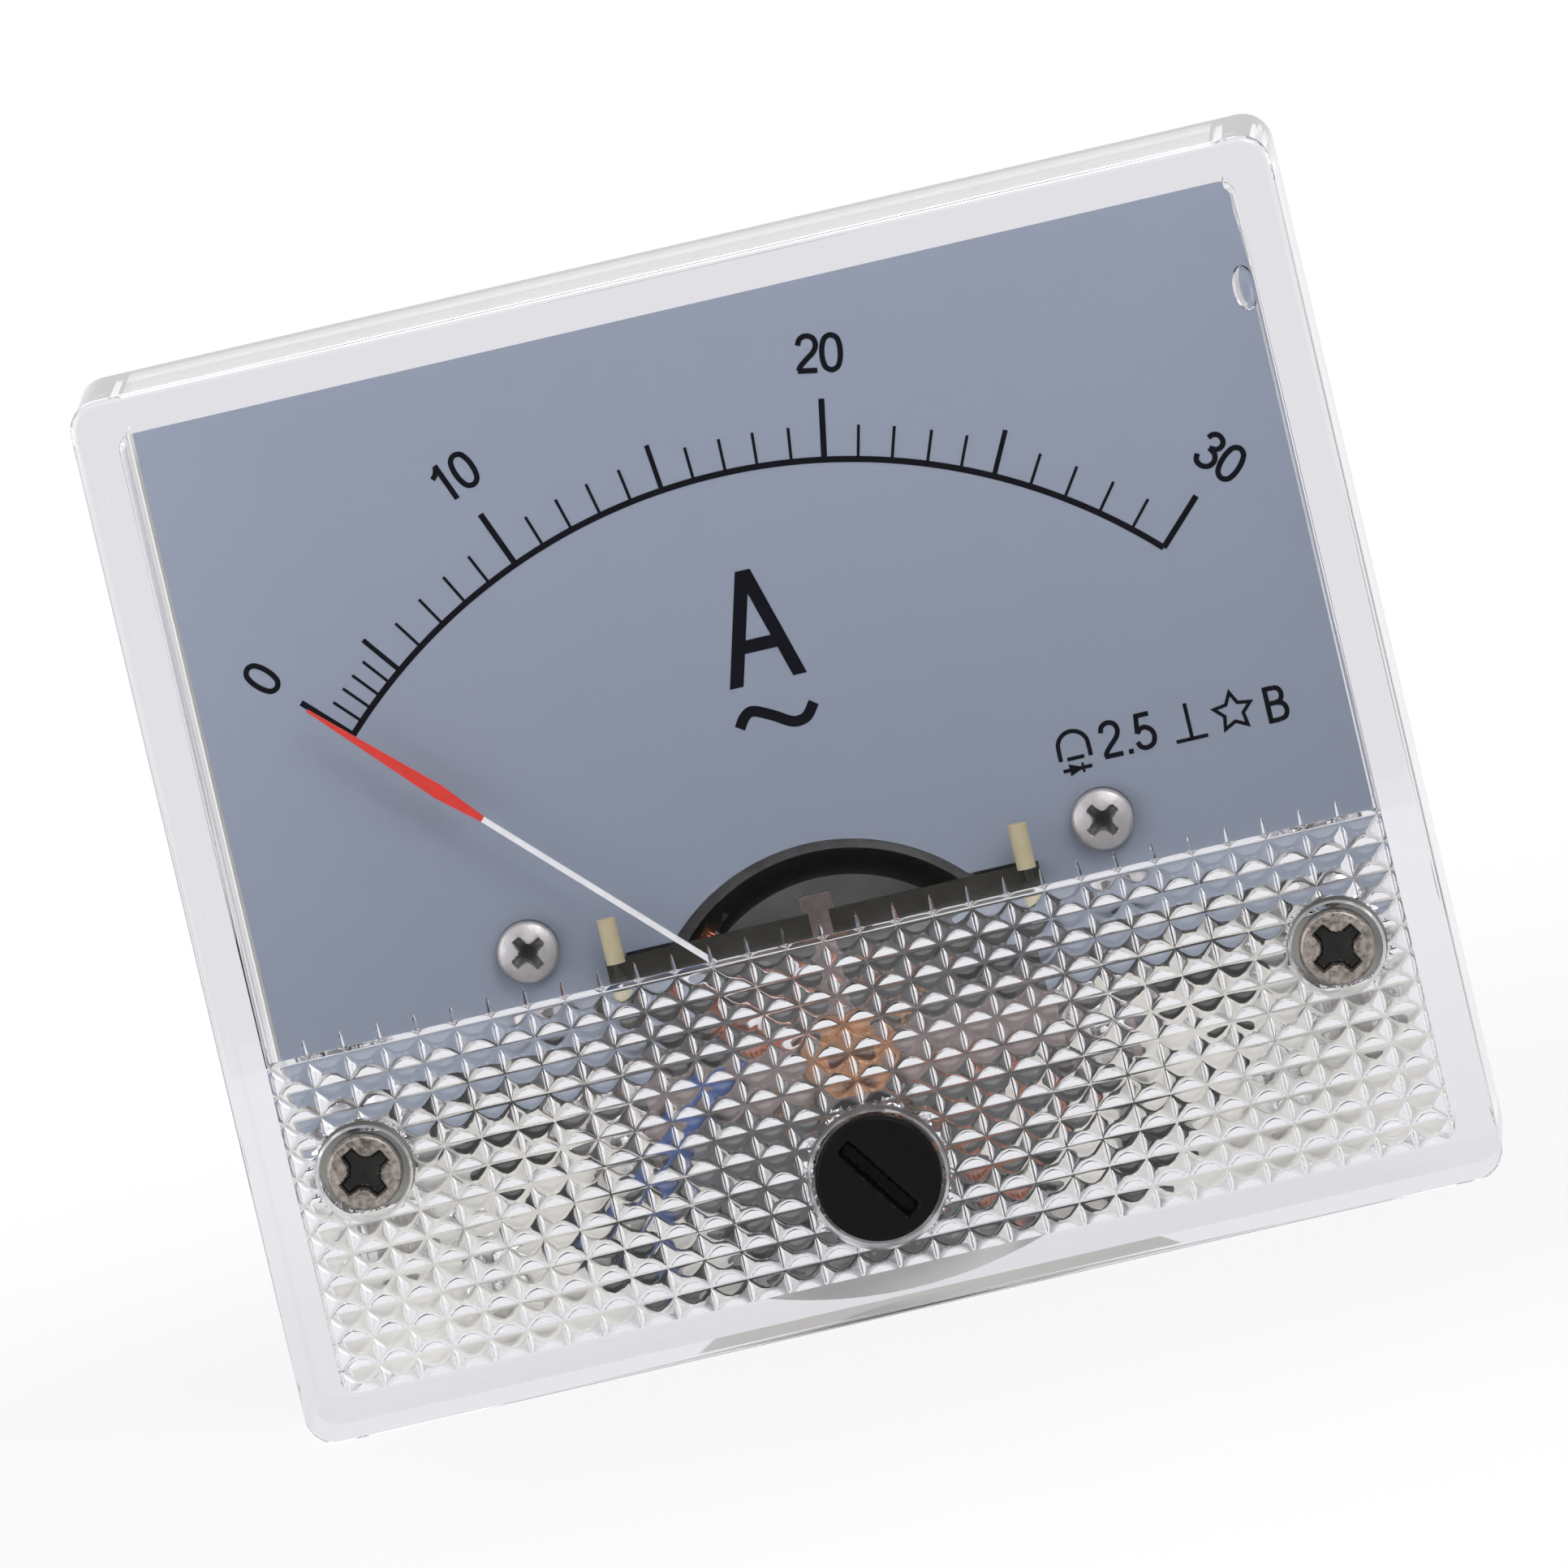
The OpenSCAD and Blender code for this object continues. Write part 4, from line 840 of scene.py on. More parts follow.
class METER_OT_cover(bpy.types.Operator):
    """Clear cover: the CAD cover with its front edge and pockets eased and the pattern added to the window's back"""
    bl_idname = "meter.cover"
    bl_label = "Clear Cover"

    def execute(self, context):
        s = context.scene.meter_cover
        work = merged_copy("front_cover")
        high, low = COVER[1] * MM, COVER[0] * MM
        self.slim_bosses(work)
        for v in work.verts:
            v.co.y = min(v.co.y, high[1] - RIM_GAP * MM)
        def within(edge, reach):
            """Whether an edge keeps within a reach of the cover's outline, in millimetres."""
            return all(max(abs(v.co.x) - high[0], v.co.z - high[2],
                low[2] - v.co.z) > -reach * MM for v in edge.verts)

        creases = [e for e in work.edges if e.calc_face_angle(0) > 0.5]
        face = [e for e in creases if max(v.co.y for v in e.verts) <= low[1] + 0.01 * MM]
        front = [e for e in face if within(e, 0.9)]
        mouths = [e for e in face if not within(e, 0.9)]
        corner = [e for e in creases if all(abs(v.co.y / MM - WINDOW_BACK) < 0.01 for v in e.verts)
                  and within(e, 3.1) and any(v.co.z < high[2] - 2.3 * MM for v in e.verts)]
        for edges, radius, segments in ((mouths, 0.16, 2), (corner, 0.32, 4), (front, s.edge_r, 4)):
            edges = [e for e in edges if e.is_valid]
            bmesh.ops.bevel(work, geom=edges, offset=radius * MM, segments=segments, profile=0.5, affect="EDGES")
        base = bpy.data.meshes.new("cover_base")
        work.to_mesh(base)
        work.free()
        from_side, from_top = 2.85, 7.9
        lump = nib(COVER[1][0] - from_side, WINDOW_BACK, COVER[1][2] - from_top, (0.62, 0.25, 1.2))
        pattern = mesh_from("pattern", *join(pattern_solid(s), lump))
        mesh = combined(base, pattern, "UNION")
        mesh.name = "clear_cover"
        if len(mesh.polygons) < len(pattern.polygons) // 2:
            raise RuntimeError("the cover's union failed")
        add_piece("clear_cover", mesh, FINISHES["clear"], "housing", ("front_cover",), 30)
        self.part_faces(mesh)
        return {"FINISHED"}

    def slim_bosses(self, work):
        """Thins the bosses behind the window, from the CAD's radius, so that the pattern reaches their pockets."""
        for x, z, thin, full in BOSSES:
            for v in work.verts:
                far = math.hypot(v.co.x / MM - x, v.co.z / MM - z)
                if abs(far - full) < 0.03 and v.co.y > (WINDOW_BACK - 0.01) * MM:
                    v.co.x = (x + (v.co.x / MM - x) * thin / far) * MM
                    v.co.z = (z + (v.co.z / MM - z) * thin / far) * MM

    def part_faces(self, mesh):
        """Keeps wide faces flat, and writes the satin attribute of the pockets' walls."""
        n = len(mesh.polygons)
        area, middle, normal = np.empty(n), np.empty(n * 3), np.empty(n * 3)
        mesh.polygons.foreach_get("area", area)
        mesh.polygons.foreach_get("center", middle)
        mesh.polygons.foreach_get("normal", normal)
        middle, normal = middle.reshape(-1, 3) / MM, normal.reshape(-1, 3)
        mesh.polygons.foreach_set("use_smooth", (area < 1.0 * MM * MM) | (np.abs(normal).max(1) < 0.9995))
        satin = np.zeros(n, np.float32)
        for (x, z, _, _), r in zip(BOSSES, (SCREW_POCKET, SCREW_POCKET, ADJUSTER_POCKET)):
            far = np.hypot(middle[:, 0] - x, middle[:, 2] - z)
            satin[(far > r - 0.2) & (far < r + 0.2) & (np.abs(normal[:, 1]) < 0.95) & (middle[:,
                1] < WINDOW_BACK - 0.25)] = 1
        mesh.attributes.new("satin", "FLOAT", "FACE").data.foreach_set("value", satin)
        mesh.polygons.foreach_set("material_index", np.zeros(n, np.int32))
        mesh.update()


class METER_OT_base(bpy.types.Operator):
    """Base and barrel: the CAD solid in cream plastic"""
    bl_idname = "meter.base"
    bl_label = "Base"

    def execute(self, context):
        dress({"cream": ["base"]})
        return {"FINISHED"}


# ---- dial ----

TICKS = (-45.0, -43.4, -41.85, -40.35, -38.75, -37.2, -34.1, -31.0, -27.95, -24.95, -21.8, -18.55, -15.35, -12.2,
    -8.95, -5.75,
         -2.5, 0.7, 3.85, 7.2, 10.4, 13.7, 17.0, 20.45, 23.75, 27.05, 30.7, 34.25, 37.9, 41.45, 45.05)
SINK = 0.01  # how far the print reaches into the dial
INK_T = 0.012
STAGGER = 0.0006  # strips that cross lie this much apart, so that no two faces coincide


def arc_path(r, start, stop, n, cx=0.0, cz=0.0):
    """Points at turns from start to stop degrees, clockwise from up, about (cx, cz)."""
    t = np.radians(np.linspace(start, stop, n))
    return np.stack([cx + r * np.sin(t), cz + r * np.cos(t)], -1)


def curve(points, steps=6):
    """A smooth flat line through (x, z) points."""
    p = np.array(points, float)
    return smooth_route(np.insert(p, 1, 0, axis=1), steps)[:, [0, 2]]


GLYPHS = {
    "0": (0.60, [("loop", [(0.30, 0.935), (0.45, 0.86), (0.515, 0.68), (0.53, 0.5), (0.515, 0.32), (0.45, 0.14),
        (0.30, 0.065),
                           (0.15, 0.14), (0.085, 0.32), (0.07, 0.5), (0.085, 0.68), (0.15, 0.86)])]),
    "1": (0.60, [("curve", [(0.12, 0.74), (0.24, 0.80), (0.345, 0.93)]), ("line", [(0.36, 1.0), (0.36, 0.0)])]),
    "2": (0.60, [("curve", [(0.075, 0.70), (0.13, 0.86), (0.29, 0.935), (0.46, 0.87), (0.52, 0.70), (0.45, 0.52),
        (0.28, 0.35),
                            (0.13, 0.19), (0.075, 0.065)]), ("line", [(0.05, 0.065), (0.54, 0.065)])]),
    "3": (0.60, [("curve", [(0.085, 0.75), (0.15, 0.88), (0.28, 0.935), (0.43, 0.88), (0.485, 0.74), (0.41, 0.60),
        (0.24, 0.545)]),
                 ("curve", [(0.24, 0.545), (0.44, 0.48), (0.525, 0.31), (0.45, 0.13), (0.28, 0.065), (0.13, 0.12),
                     (0.065, 0.27)])]),
    "5": (0.60, [("line", [(0.50, 0.935), (0.165, 0.935), (0.105, 0.47)]),
                 ("curve", [(0.105, 0.47), (0.19, 0.57), (0.32, 0.605), (0.47, 0.51), (0.53, 0.34), (0.46, 0.14),
                     (0.28, 0.065),
                            (0.13, 0.12), (0.065, 0.26)])]),
    ".": (0.30, [("line", [(0.085, 0.06), (0.215, 0.06)])]),
    "B": (0.64, [("line", [(0.10, 0.0), (0.10, 1.0)]), ("line", [(0.10, 0.935), (0.32, 0.935)]),
        ("line", [(0.10, 0.53), (0.34, 0.53)]),
                 ("line", [(0.10, 0.065), (0.34, 0.065)]),
                 ("curve", [(0.32, 0.935), (0.46, 0.89), (0.52, 0.735), (0.46, 0.58), (0.32, 0.53)]),
                 ("curve", [(0.34, 0.53), (0.51, 0.47), (0.58, 0.30), (0.51, 0.12), (0.34, 0.065)])]),
}


def lettering(text, height, stroke, place, front):
    """Figures drawn as strips of one width, centred on the origin and carried by place to the dial."""
    shells, pen = [], 0.0
    total = sum(GLYPHS[c][0] for c in text)
    for i, c in enumerate(text):
        for j, (kind, points) in enumerate(GLYPHS[c][1]):
            p = np.array(points) + [pen - total / 2, -0.5]
            if kind == "loop":
                p = np.concatenate([p[-2:], p, p[:2]])
                p = curve(p, 5)[10:-5]
                p = p[:-1]
            elif kind == "curve":
                p = curve(p, 5)
            y = front - STAGGER * j
            shells.append(ribbon(place(p * height), stroke, y, DIAL_Y + SINK, kind == "loop"))
        pen += GLYPHS[c][0]
    return shells


def at(x, z, turn=0.0):
    """Carries flat points by a turn, clockwise, and then to (x, z)."""
    a = math.radians(turn)

    def place(p):
        return np.stack([x + p[:, 0] * math.cos(a) + p[:, 1] * math.sin(a),
            z - p[:, 0] * math.sin(a) + p[:, 1] * math.cos(a)], -1)
    return place


class METER_OT_dial(bpy.types.Operator):
    """Dial plate's paint and its printed scale, figures, unit and symbols"""
    bl_idname = "meter.dial"
    bl_label = "Dial"

    def execute(self, context):
        s = context.scene.meter_dial
        dress({"dial": ["dial_plate"]})
        front, back = DIAL_Y - INK_T, DIAL_Y + SINK
        scale = [ribbon(arc_path(s.arc_r, TICKS[0], TICKS[-1], 121, 0, PIVOT_Z), s.arc_w, front, back)]
        for i, turn in enumerate(TICKS):
            outer, width = (s.major_r, 0.32) if i % 10 == 0 else (s.mid_r, 0.26) if i % 5 == 0 else (s.minor_r, 0.16)
            way = np.array([math.sin(math.radians(turn)), math.cos(math.radians(turn))])
            line = [way * r + [0, PIVOT_Z] for r in (s.arc_r, outer)]
            scale.append(ribbon(line, width, front - 0.001, back))
        add_shells("dial_scale", scale, "ink", 35)
        figures = []
        for text, i in (("0", 0), ("10", 10), ("20", 20), ("30", 30)):
            a = math.radians(TICKS[i])
            figures += lettering(text, s.figure_h, 0.29, at(s.figure_r * math.sin(a),
                PIVOT_Z + s.figure_r * math.cos(a), TICKS[i]), front)
        add_shells("dial_figures", figures, "ink", 35)
        unit = [plate([(-2.02, 8.55), (-1.28, 8.55), (0.40, 14.52), (-0.36, 14.52)], front, back),
                plate([(2.12, 8.55), (1.38, 8.55), (-0.32, 14.52), (0.44, 14.52)][::-1], front - STAGGER, back),
                plate([(-1.25, 10.2), (1.3, 10.2), (1.3, 10.9), (-1.25, 10.9)], front - 2 * STAGGER, back)]
        wave = curve([(-1.97, 6.45), (-1.6, 6.98), (-1.09, 7.19), (-0.11, 6.74), (0.6, 6.3), (1.05, 6.17),
            (1.6, 6.32), (2.1, 6.95)], 8)
        unit.append(ribbon(wave, 0.57, front, back))
        add_shells("dial_unit", unit, "ink", 35)
        add_shells("dial_symbols", self.symbols(front, back), "ink", 35)
        return {"FINISHED"}

    def symbols(self, front, back):
        """Moving coil with rectifier, accuracy class, upright use, test voltage star and field class."""
        thin = 0.2
        arch = np.concatenate([[(13.95, 0.95), (13.95, 1.35)], arc_path(0.8, -80, 80, 17, 14.75, 1.62),
            [(15.55, 1.35), (15.55, 0.95)]])
        marks = [ribbon(arch, 0.23, front, back), ribbon([(14.3, 1.0), (15.2, 1.0)], 0.2, front, back),
                 ribbon([(13.95, 0.42), (15.5, 0.42)], 0.2, front, back),
                 plate([(14.3, 0.10), (15.1, 0.42), (14.3, 0.74)], front - STAGGER, back),
                 ribbon([(15.02, 0.16), (15.02, 0.68)], 0.13, front - 0.001, back)]
        marks += lettering("2.5", 2.0, 0.26, at(17.65, 1.55), front)
        marks += [ribbon([(20.9, 0.6), (20.9, 2.5)], thin, front, back),
            ribbon([(20.05, 0.6), (21.75, 0.6)], thin, front - STAGGER, back)]
        turns = np.radians(np.arange(10) * 36)
        radii = np.where(np.arange(10) % 2 == 0, 1.02, 0.52)
        star = np.stack([23.3 + radii * np.sin(turns), 1.5 + radii * np.cos(turns)], -1)
        marks.append(ribbon(star, 0.19, front, back, closed=True))
        marks += lettering("B", 1.95, 0.26, at(25.55, 1.4), front)
        return marks


# ---- screws ----

def head_and_shank(x, z, d, head_d, seat, head_h, y_end, span, width, depth, turn, dome, neck, n):
    """A pan-head screw with a cross recess: its head, its neck and its threaded shank."""
    shells = [round_head(x, z, head_d, seat - head_h, seat, 0.22, cross_cut(span, width, depth, turn), n, dome)]
    start = seat - 0.05
    if neck:
        shells.append(rod(neck[0], start, neck[1] + 0.3, x, z, 0.02, 32))
        start = neck[1]
    shells.append(thread(x, z, d / 2, 0.12, 0.4, start, y_end, 32, 6))
    return shells


class METER_OT_screws(bpy.types.Operator):
    """Cross-head screws of the panel, dial, frame, bridge and board"""
    bl_idname = "meter.screws"
    bl_label = "Screws"

    def execute(self, context):
        # name, node, finish, slot, box; thread, width in the box, head, its height; the recess's span, width, depth
        # and turn; the head's dome; the neck's width and end; points across the head
        rows = [
            ("mounting_screw_set", "mounting_screws", "dull", "dull_steel", MOUNT_SCREWS, 2.5, 4.0, 4.0, 1.6, 2.8,
                1.0, 1.05, 29, 0.15, (2.0, 0.1), 65),
            ("dial_screw_set", "dial_screws", "bright", "plated_steel", DIAL_SCREWS, 2.0, 3.3, 3.3, 1.2, 1.9, 0.55,
                0.85, 30, 0.4, None, 57),
            ("frame_screw_set", "frame_screws", "plated", "plated_steel", FRAME_SCREWS, 2.0, 3.6, 3.6, 1.2, 2.1, 0.65,
                0.8, 10, 0.3, None, 33),
            ("clamp_screw_set", "movement_screws", "plated", "plated_steel", CLAMP_SCREWS, 1.6, 2.8, 2.8, 1.0, 1.7,
                0.5, 0.7, 30, 0.25, None, 33),
            ("board_screw_set", "board_screws", "plated", "plated_steel", BOARD_SCREWS, 2.0, 3.6, 3.6, 1.2, 2.1, 0.65,
                0.8, 0, 0.3, None, 33),
        ]
        for name, node, key, slot, (low,
            high), d, wide, head_d, head_h, span, width, depth, turn, dome, neck, n in rows:
            z = (low[2] + high[2]) / 2
            seat = low[1] + head_h
            shells = []
            for i, x in enumerate((low[0] + wide / 2, high[0] - wide / 2)):
                shells += head_and_shank(x, z, d, head_d, seat, head_h, high[1], span, width, depth, turn + 5 * i,
                    dome, neck, n)
            add_shells(name, shells, key, 40, node)
        return {"FINISHED"}


class METER_OT_adjuster(bpy.types.Operator):
    """Zero adjuster: slotted head, neck, snap collar and eccentric pin"""
    bl_idname = "meter.adjuster"
    bl_label = "Zero Adjuster"

    def execute(self, context):
        low, high = ADJUSTER
        d, head_t = high[0] - low[0], 1.2
        seat = low[1] + head_t
        collar = WINDOW_BACK + 0.7  # where the snap collar starts
        end = collar + 0.6
        neck_r, collar_r, pin_d, pin_z = 2.0, 2.45, 0.9, 0.35
        shaft = [(0, seat - 0.1), (neck_r, seat - 0.1), (neck_r, collar - 0.02), (collar_r, collar),
                 (2.4, collar + 0.12), (neck_r, end), (0, end)]
        shells = [round_head(0, ADJUSTER_Z, d, low[1], seat, 0.22, slot_cut(4.9, 0.8, 0.7, -55), 61),
                  lathe(shaft, 0, ADJUSTER_Z),
                  rod(pin_d, collar + 0.5, high[1], 0, ADJUSTER_Z + pin_z, 0.1, 32)]
        add_shells("adjuster_knob", shells, "black", 50, "zero_adjuster", "adjuster")
        return {"FINISHED"}


# ---- movement ----

class METER_OT_movement(bpy.types.Operator):
    """Movement: frame, magnet, bridges, bearings, stops and lever in their metals, and the wound coil"""
    bl_idname = "meter.movement"
    bl_label = "Movement"

    def execute(self, context):
        dress({
            "casting": ["movement_frame"], "iron": ["yoke_ring"], "magnet": ["core_magnet"],
            "alloy": ["magnet_holder"],
            "nickel": ["front_bridge", "zero_lever"], "brass": ["rear_jewel_screw", "rear_locknut",
                "rear_spring_anchor"],
            "brown": ["front_jewel_screw", "front_locknut", "balance_cross", "balance_weights"],
            "jewel": ["front_jewel", "rear_jewel"], "olive": ["stop_bracket"], "sleeve": ["stop_sleeves"],
            "aluminium": ["coil_former"],
            "steel": ["front_staff", "rear_staff"], "bronze": ["front_hairspring",
                "rear_hairspring"], "pointer": ["pointer"],
        })
        self.coil()
        return {"FINISHED"}

    def coil(self):
        """The winding: side-by-side wires carried round the frame's rectangle.

        The outside swells by the sine's size at each wire, which makes a row of half rounds.
        """
        front, back = FORMER[0][1], FORMER[1][1]
        half, depth, width, wires, bulge = 9.17, 0.57, 2.0, 10, 0.06
        quarter = np.radians(np.linspace(0, 90, 7))
        corners = [((half, back), 0), ((-half, back), 90), ((-half, front), 180), ((half, front), 270)]
        base = np.concatenate([np.repeat([c], 7, 0) for c, _ in corners])
        out = np.concatenate([np.stack([np.cos(quarter + math.radians(a)), np.sin(quarter + math.radians(a))],
            -1) for _, a in corners])
        w = np.linspace(-1, 1, wires * 6 + 1)
        swell = depth - bulge + bulge * np.abs(np.sin(w * wires * math.pi / 2))
        across = np.concatenate([[-1.0], w, [1.0]]) * width / 2
        reach = np.concatenate([[0.0], swell, [0.0]])
        path = base[:, None] + out[:, None] * reach[None, :, None]
        a = math.radians(REST_TURN)
        radial, y = path[..., 0], path[..., 1]
        x = radial * math.sin(a) + across[None] * math.cos(a)
        z = PIVOT_Z + radial * math.cos(a) - across[None] * math.sin(a)
        points = np.stack([x, y, z], -1)
        shell = skin(points, True, True)
        add_shells("coil_turns", [shell], "wire", 60, "coil_winding", "moving_element")


# ---- terminals and electrics ----

class METER_OT_terminals(bpy.types.Operator):
    """Terminals: threaded studs, nuts, washers and spring washers"""
    bl_idname = "meter.terminals"
    bl_label = "Terminals"

    def execute(self, context):
        washer_r, flange_t = 4.25, 1.5
        nut_starts, washer_starts, lock_span = (31.6, 35.7), (31.0, 34.2), (34.82, 35.68)
        x = WASHERS[1][0] - washer_r
        seat = STUDS[0][1] + flange_t
        studs, nuts, washers, locks = [], [], [], []
        for side in (-x, x):
            studs += [thread(side, 0, 2.0, 0.26, 0.7, seat - 0.1, STUDS[1][1]),
                nut(7, 1.6, STUDS[0][1], seat, side, 0)]
            for y in nut_starts:
                nuts.append(nut(7, 2.02, y, y + 2.6, side, 0))
            for y in washer_starts:
                washers.append(lathe([(2.1, y), (4.17, y), (washer_r, y + 0.08), (washer_r, y + 0.5), (4.12, y + 0.6),
                    (2.1, y + 0.6)], side, 0, 64, True))
            locks.append(self.split_washer(side, *lock_span))
        for name, shells, key, slot, node in (
            ("terminal_stud_pair", studs, "brass", "yellow_brass", "terminal_studs"),
            ("terminal_nut_set", nuts, "brass", "yellow_brass", "terminal_nuts"),
            ("terminal_washer_set", washers, "brass", "yellow_brass", "terminal_washers"),
            ("spring_washer_pair", locks, "plated", "plated_steel", "terminal_spring_washers"),
        ):
            add_shells(name, shells, key, 30, node)
        return {"FINISHED"}

    def split_washer(self, x, y0, y1):
        """A spring washer: a square section carried round 348 degrees."""
        t = np.radians(np.linspace(6, 354, 60))
        section = np.array([(2.1, y0), (3.55, y0), (3.6, y0 + 0.05), (3.6, y1 - 0.05), (3.55, y1), (2.1, y1)])
        points = np.stack([x + section[None, :, 0] * np.cos(t)[:, None],
            np.broadcast_to(section[None, :, 1], (len(t), 6)),
                           section[None, :, 0] * np.sin(t)[:, None]], -1)
        last = 6 * (len(t) - 1)
        caps = [np.arange(6)[None], last + np.arange(6)[None, ::-1]]
        return skin(points, False, True, caps)


class METER_OT_electrics(bpy.types.Operator):
    """Link, transformer, rectifier board and leads"""
    bl_idname = "meter.electrics"
    bl_label = "Electrics"

    def execute(self, context):
        dress({"copper": ["primary_link"], "iron": ["transformer_core"], "wound": ["transformer_winding"],
               "board": ["rectifier_board"], "diode": ["diodes"], "resistor": ["resistor"]})
        blue = [(-6.4, -8.5, -10.2), (-8.6, -8.5, -11.9), (-10.6, -8.2, -14.2), (-11.7, -6.8, -16.2),
            (-12.2, -4, -17.6), (-12.4, 0, -18.2),
                (-12.8, 6, -17.8), (-14.6, 11, -15.5), (-16.5, 15, -9), (-15.8, 18, 1), (-12.6, 19.8, 9), (-9.2, 20.8,
                    12.4), (-8.6, 22.85, 13.2)]
        red = [(4.4, 12.25, -8), (7.6, 12.4, -6), (11.8, 14.6, -2), (14.6, 17, 4), (13, 19.2, 9.4), (9.4, 20.6, 12.4),
            (8.6, 22.85, 13.2)]
        fine = [(2.4, 20.2, 6.75), (3.2, 19.9, 7.4), (4.8, 20.0, 9), (5.8, 21.0, 10), (5.8, 22.85, 10.3)]
        mirrored = [(-x, y, z) for x, y, z in fine]
        for name, shells, key, slot, node in (
            ("blue_lead_sheath", [tube(blue, 0.5)], "blue", "blue_sheath", "blue_lead"),
            ("red_lead_sheath", [tube(red, 0.5)], "red", "red_sheath", "red_lead"),
            ("fine_lead_pair", [tube(fine, 0.25), tube(mirrored, 0.25)], "wire", "copper_wire", "winding_leads"),
        ):
            add_shells(name, shells, key, 50, node)
        return {"FINISHED"}


# ---- stage ----

def area_lamp(name, place, aim, size, power, colour=(1, 1, 1)):
    """A soft square lamp that looks at a point."""
    data = bpy.data.lights.new(name, "AREA")
    data.shape = "SQUARE"
    data.size = size
    data.energy = power
    data.color = colour
    lamp = put(name, data)
    lamp.location = place
    lamp.rotation_euler = (Vector(aim) - Vector(place)).to_track_quat("-Z", "Y").to_euler()


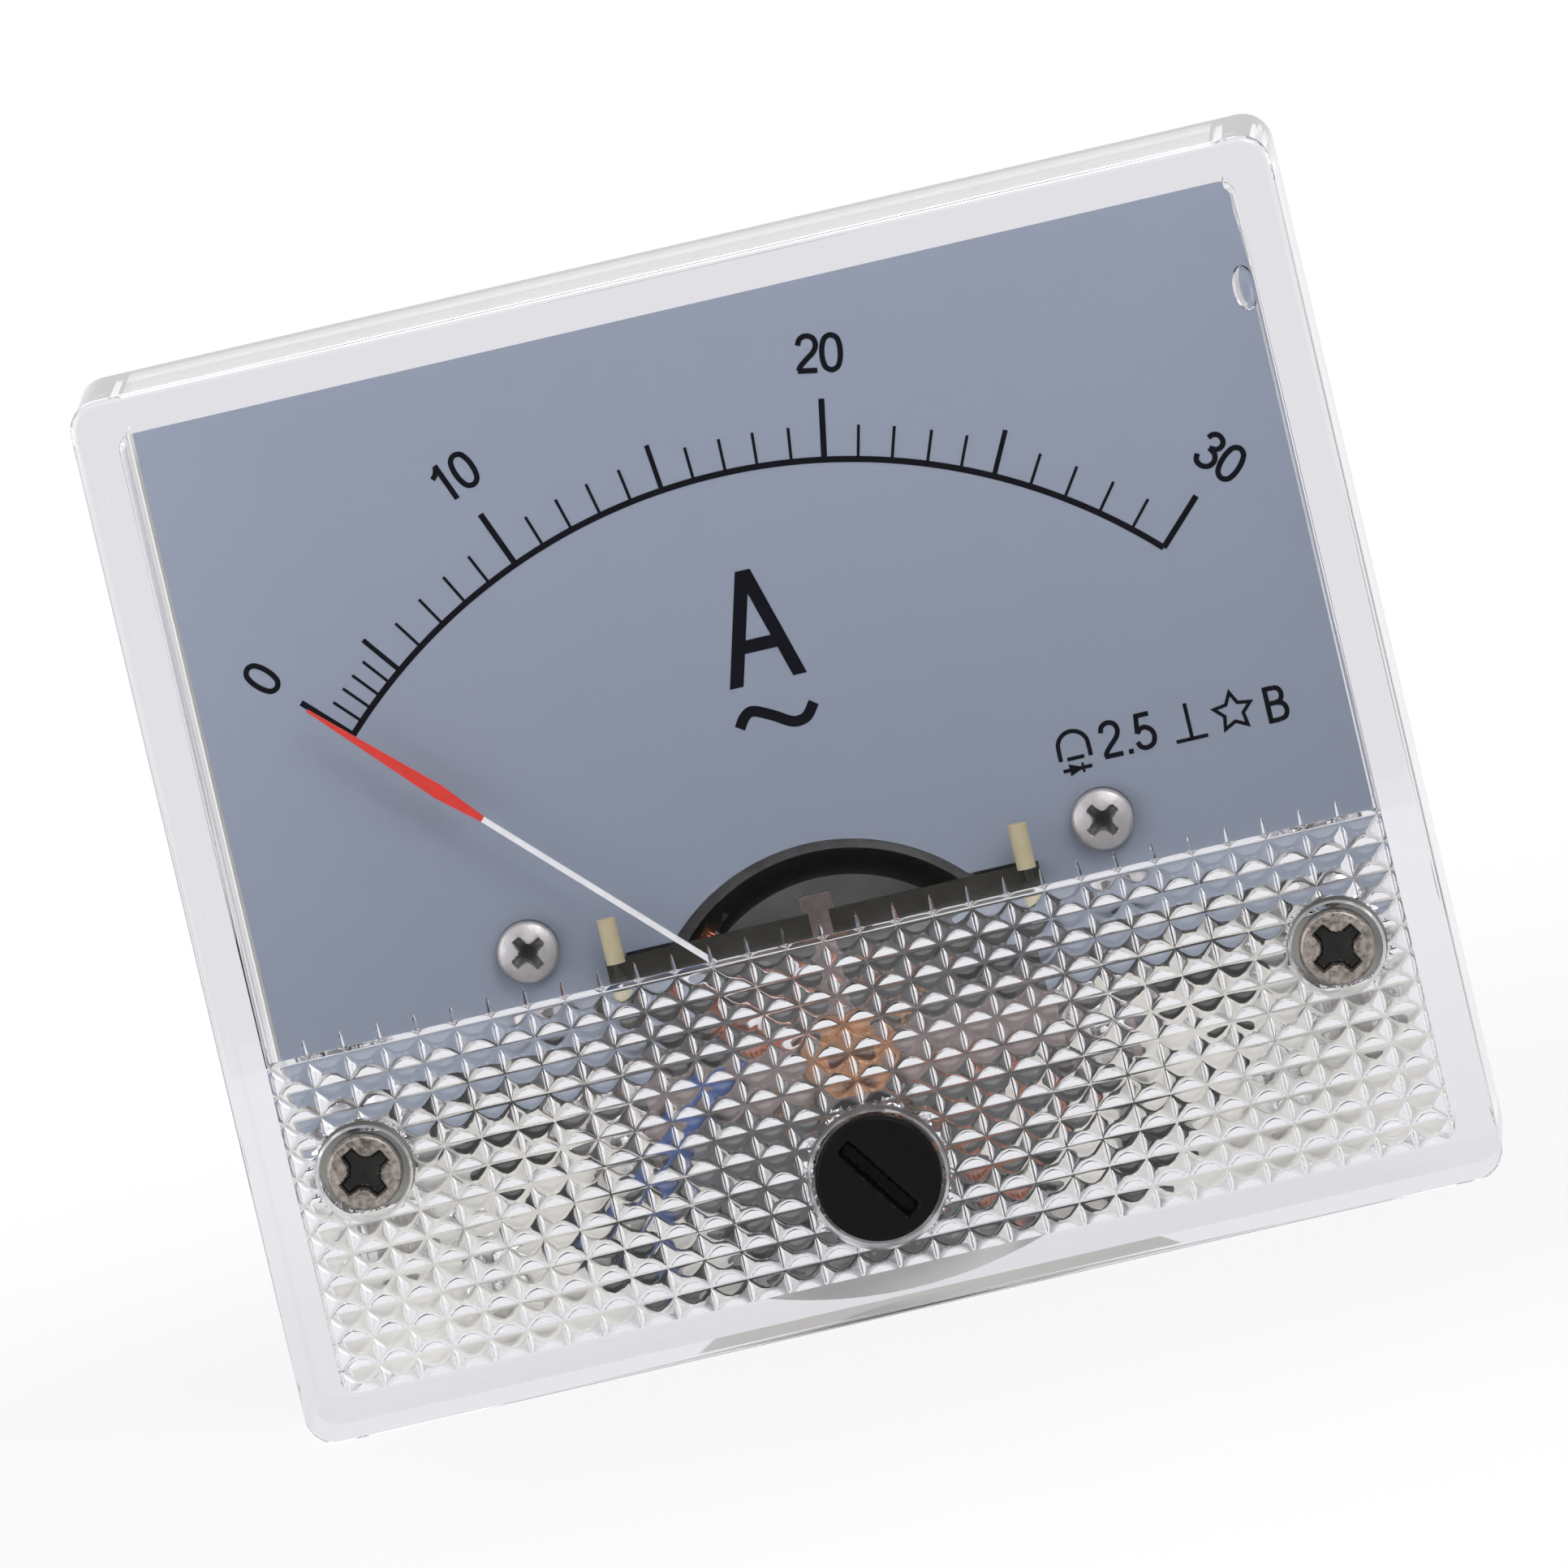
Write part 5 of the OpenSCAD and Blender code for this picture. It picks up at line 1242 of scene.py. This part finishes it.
class METER_OT_stage(bpy.types.Operator):
    """Camera, pale floor, soft lamps and white surroundings"""
    bl_idname = "meter.stage"
    bl_label = "Stage"

    def execute(self, context):
        s = context.scene.meter_stage
        self.camera(s)
        self.floor()
        self.world()
        middle = (0, 0, 0.0035)
        area_lamp("key_lamp", (0.45, -0.75, 0.75), middle, 0.5, 4.5)
        area_lamp("fill_lamp", (-0.8, -0.6, 0.25), middle, 0.6, 3.0)
        area_lamp("back_lamp", (-0.2, 0.8, 0.7), middle, 0.5, 2.5)
        context.scene.view_settings.view_transform = "Standard"
        return {"FINISHED"}

    def camera(self, s):
        yaw, pitch, roll = (math.radians(a) for a in (s.yaw, s.pitch, s.roll))
        way = Vector((math.sin(yaw) * math.cos(pitch), -math.cos(yaw) * math.cos(pitch), math.sin(pitch)))
        right = Vector((math.cos(yaw), math.sin(yaw), 0))
        up = way.cross(right)
        x_axis = math.cos(roll) * right - math.sin(roll) * up
        y_axis = math.sin(roll) * right + math.cos(roll) * up
        face = Vector((0, FACE_Y, (COVER[0][2] + COVER[1][2]) / 2)) * MM
        across, up_by, sensor = -0.134, 0.389, 36
        aim = face + across * MM * x_axis + up_by * MM * y_axis
        data = bpy.data.cameras.new("camera")
        data.sensor_width = sensor
        data.lens = sensor * s.distance / s.span
        data.clip_start, data.clip_end = 0.05, 50
        camera = put("camera", data)
        turn = Matrix((x_axis, y_axis, way)).transposed()
        camera.matrix_world = Matrix.Translation(aim + way * s.distance) @ turn.to_4x4()
        bpy.context.scene.camera = camera

    def floor(self):
        """A rounded sheet whose paint fades to the white of the surroundings away from the meter.

        It also lights the meter's underside evenly.
        """
        t = turns(96)
        edge, shift, gap = 520, 320, 0.02  # the sheet's radius, its shift to the back and its gap to the meter
        r = np.array([0, 40, 80, 120, 180, 260, 380, edge])
        z = np.full((len(r), len(t)), COVER[0][2] - gap)
        points = np.stack([np.outer(r, np.cos(t)), np.outer(r, np.sin(t)) + shift * (r[:, None] / edge), z], -1)
        mesh = mesh_from("floor", points.reshape(-1, 3), [grid_faces(len(r), len(t), False, True)])
        floor = put("floor", mesh)
        material, tree, shader, out = new_material("floor_paper")
        shader.inputs["Base Color"].default_value = (0.86, 0.86, 0.87, 1)
        shader.inputs["Roughness"].default_value = 0.9
        shader.inputs["Specular IOR Level"].default_value = 0.1
        away = node(tree, "VectorMath", {0: coordinates(tree)}, operation="LENGTH")["Value"]
        share = map_range(tree, away, (0.035, 0.16, 0.82, 1.0), smooth=True)
        bounced = node(tree, "LightPath")["Is Diffuse Ray"]
        lit = maths(tree, "MULTIPLY", bounced, 0.85)
        factor = maths(tree, "MAXIMUM", maths(tree, "MULTIPLY", share, self.seen(tree)), lit)
        glow = node(tree, "Emission", {"Color": two_colours(tree, bounced, (1.0, 1.0, 1.0), (0.8, 0.8, 0.81))})
        mix_surface(tree, out, factor, shader.outputs["BSDF"], glow["Emission"])
        mesh.materials.append(material)

    def seen(self, tree):
        """One for rays from the camera, from gloss and through glass."""
        path = node(tree, "LightPath")
        both = maths(tree, "MAXIMUM", path["Is Camera Ray"], path["Is Glossy Ray"])
        return maths(tree, "MAXIMUM", both, path["Is Transmission Ray"])

    def world(self):
        """White where it is seen, a plain grey level where it lights, and dim in front of the face."""
        world = bpy.data.worlds.new("studio")
        bpy.context.scene.world = world
        world.use_nodes = True
        tree = world.node_tree
        tree.nodes.clear()
        out = tree.nodes.new("ShaderNodeOutputWorld")
        ahead = axes(tree, node(tree, "TexCoord")["Generated"])[1]
        front = map_range(tree, ahead, (-0.97, -0.88, 0.07, 1.0), smooth=True)
        mirrored = two_colours(tree, front, (0.0, 0.0, 0.0), (1.0, 1.0, 1.0))
        visible = two_colours(tree, node(tree, "LightPath")["Is Camera Ray"], mirrored, (1.0, 1.0, 1.0))
        colour = two_colours(tree, self.seen(tree), (0.42, 0.42, 0.43), visible)
        tree.links.new(node(tree, "Background", {"Color": colour})["Background"], out.inputs["Surface"])


class METER_PT_panel(bpy.types.Panel):
    """Lists the meter's steps and sizes"""
    bl_label = "Panel Ammeter"
    bl_idname = "METER_PT_panel"
    bl_space_type = "VIEW_3D"
    bl_region_type = "UI"
    bl_category = "Meter"

    def draw(self, context):
        for step in STEPS:
            self.layout.operator(step.bl_idname)
        for group in GROUPS:
            box = self.layout.box()
            values = getattr(context.scene, group)
            for key in values.bl_rna.properties.keys():
                if key not in ("rna_type", "name"):
                    box.prop(values, key)


GROUPS = {"meter_cover": CoverSizes, "meter_dial": DialSizes, "meter_colours": Colours, "meter_stage": StageSizes}
STEPS = (METER_OT_stage, METER_OT_cover, METER_OT_base, METER_OT_dial, METER_OT_screws, METER_OT_adjuster,
    METER_OT_movement,
         METER_OT_terminals, METER_OT_electrics)


def register():
    for group in GROUPS.values():
        bpy.utils.register_class(group)
    for step in STEPS:
        bpy.utils.register_class(step)
    bpy.utils.register_class(METER_PT_panel)
    for name, group in GROUPS.items():
        setattr(bpy.types.Scene, name, bpy.props.PointerProperty(type=group))


def unregister():
    for name in GROUPS:
        delattr(bpy.types.Scene, name)
    bpy.utils.unregister_class(METER_PT_panel)
    for step in reversed(STEPS):
        bpy.utils.unregister_class(step)
    for group in GROUPS.values():
        bpy.utils.unregister_class(group)


def main():
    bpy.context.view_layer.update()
    register()
    FINISHES.update(make_finishes())
    bpy.ops.meter.stage()
    bpy.ops.meter.cover()
    bpy.ops.meter.base()
    bpy.ops.meter.dial()
    bpy.ops.meter.screws()
    bpy.ops.meter.adjuster()
    bpy.ops.meter.movement()
    bpy.ops.meter.terminals()
    bpy.ops.meter.electrics()


if __name__ == "__main__":
    main()
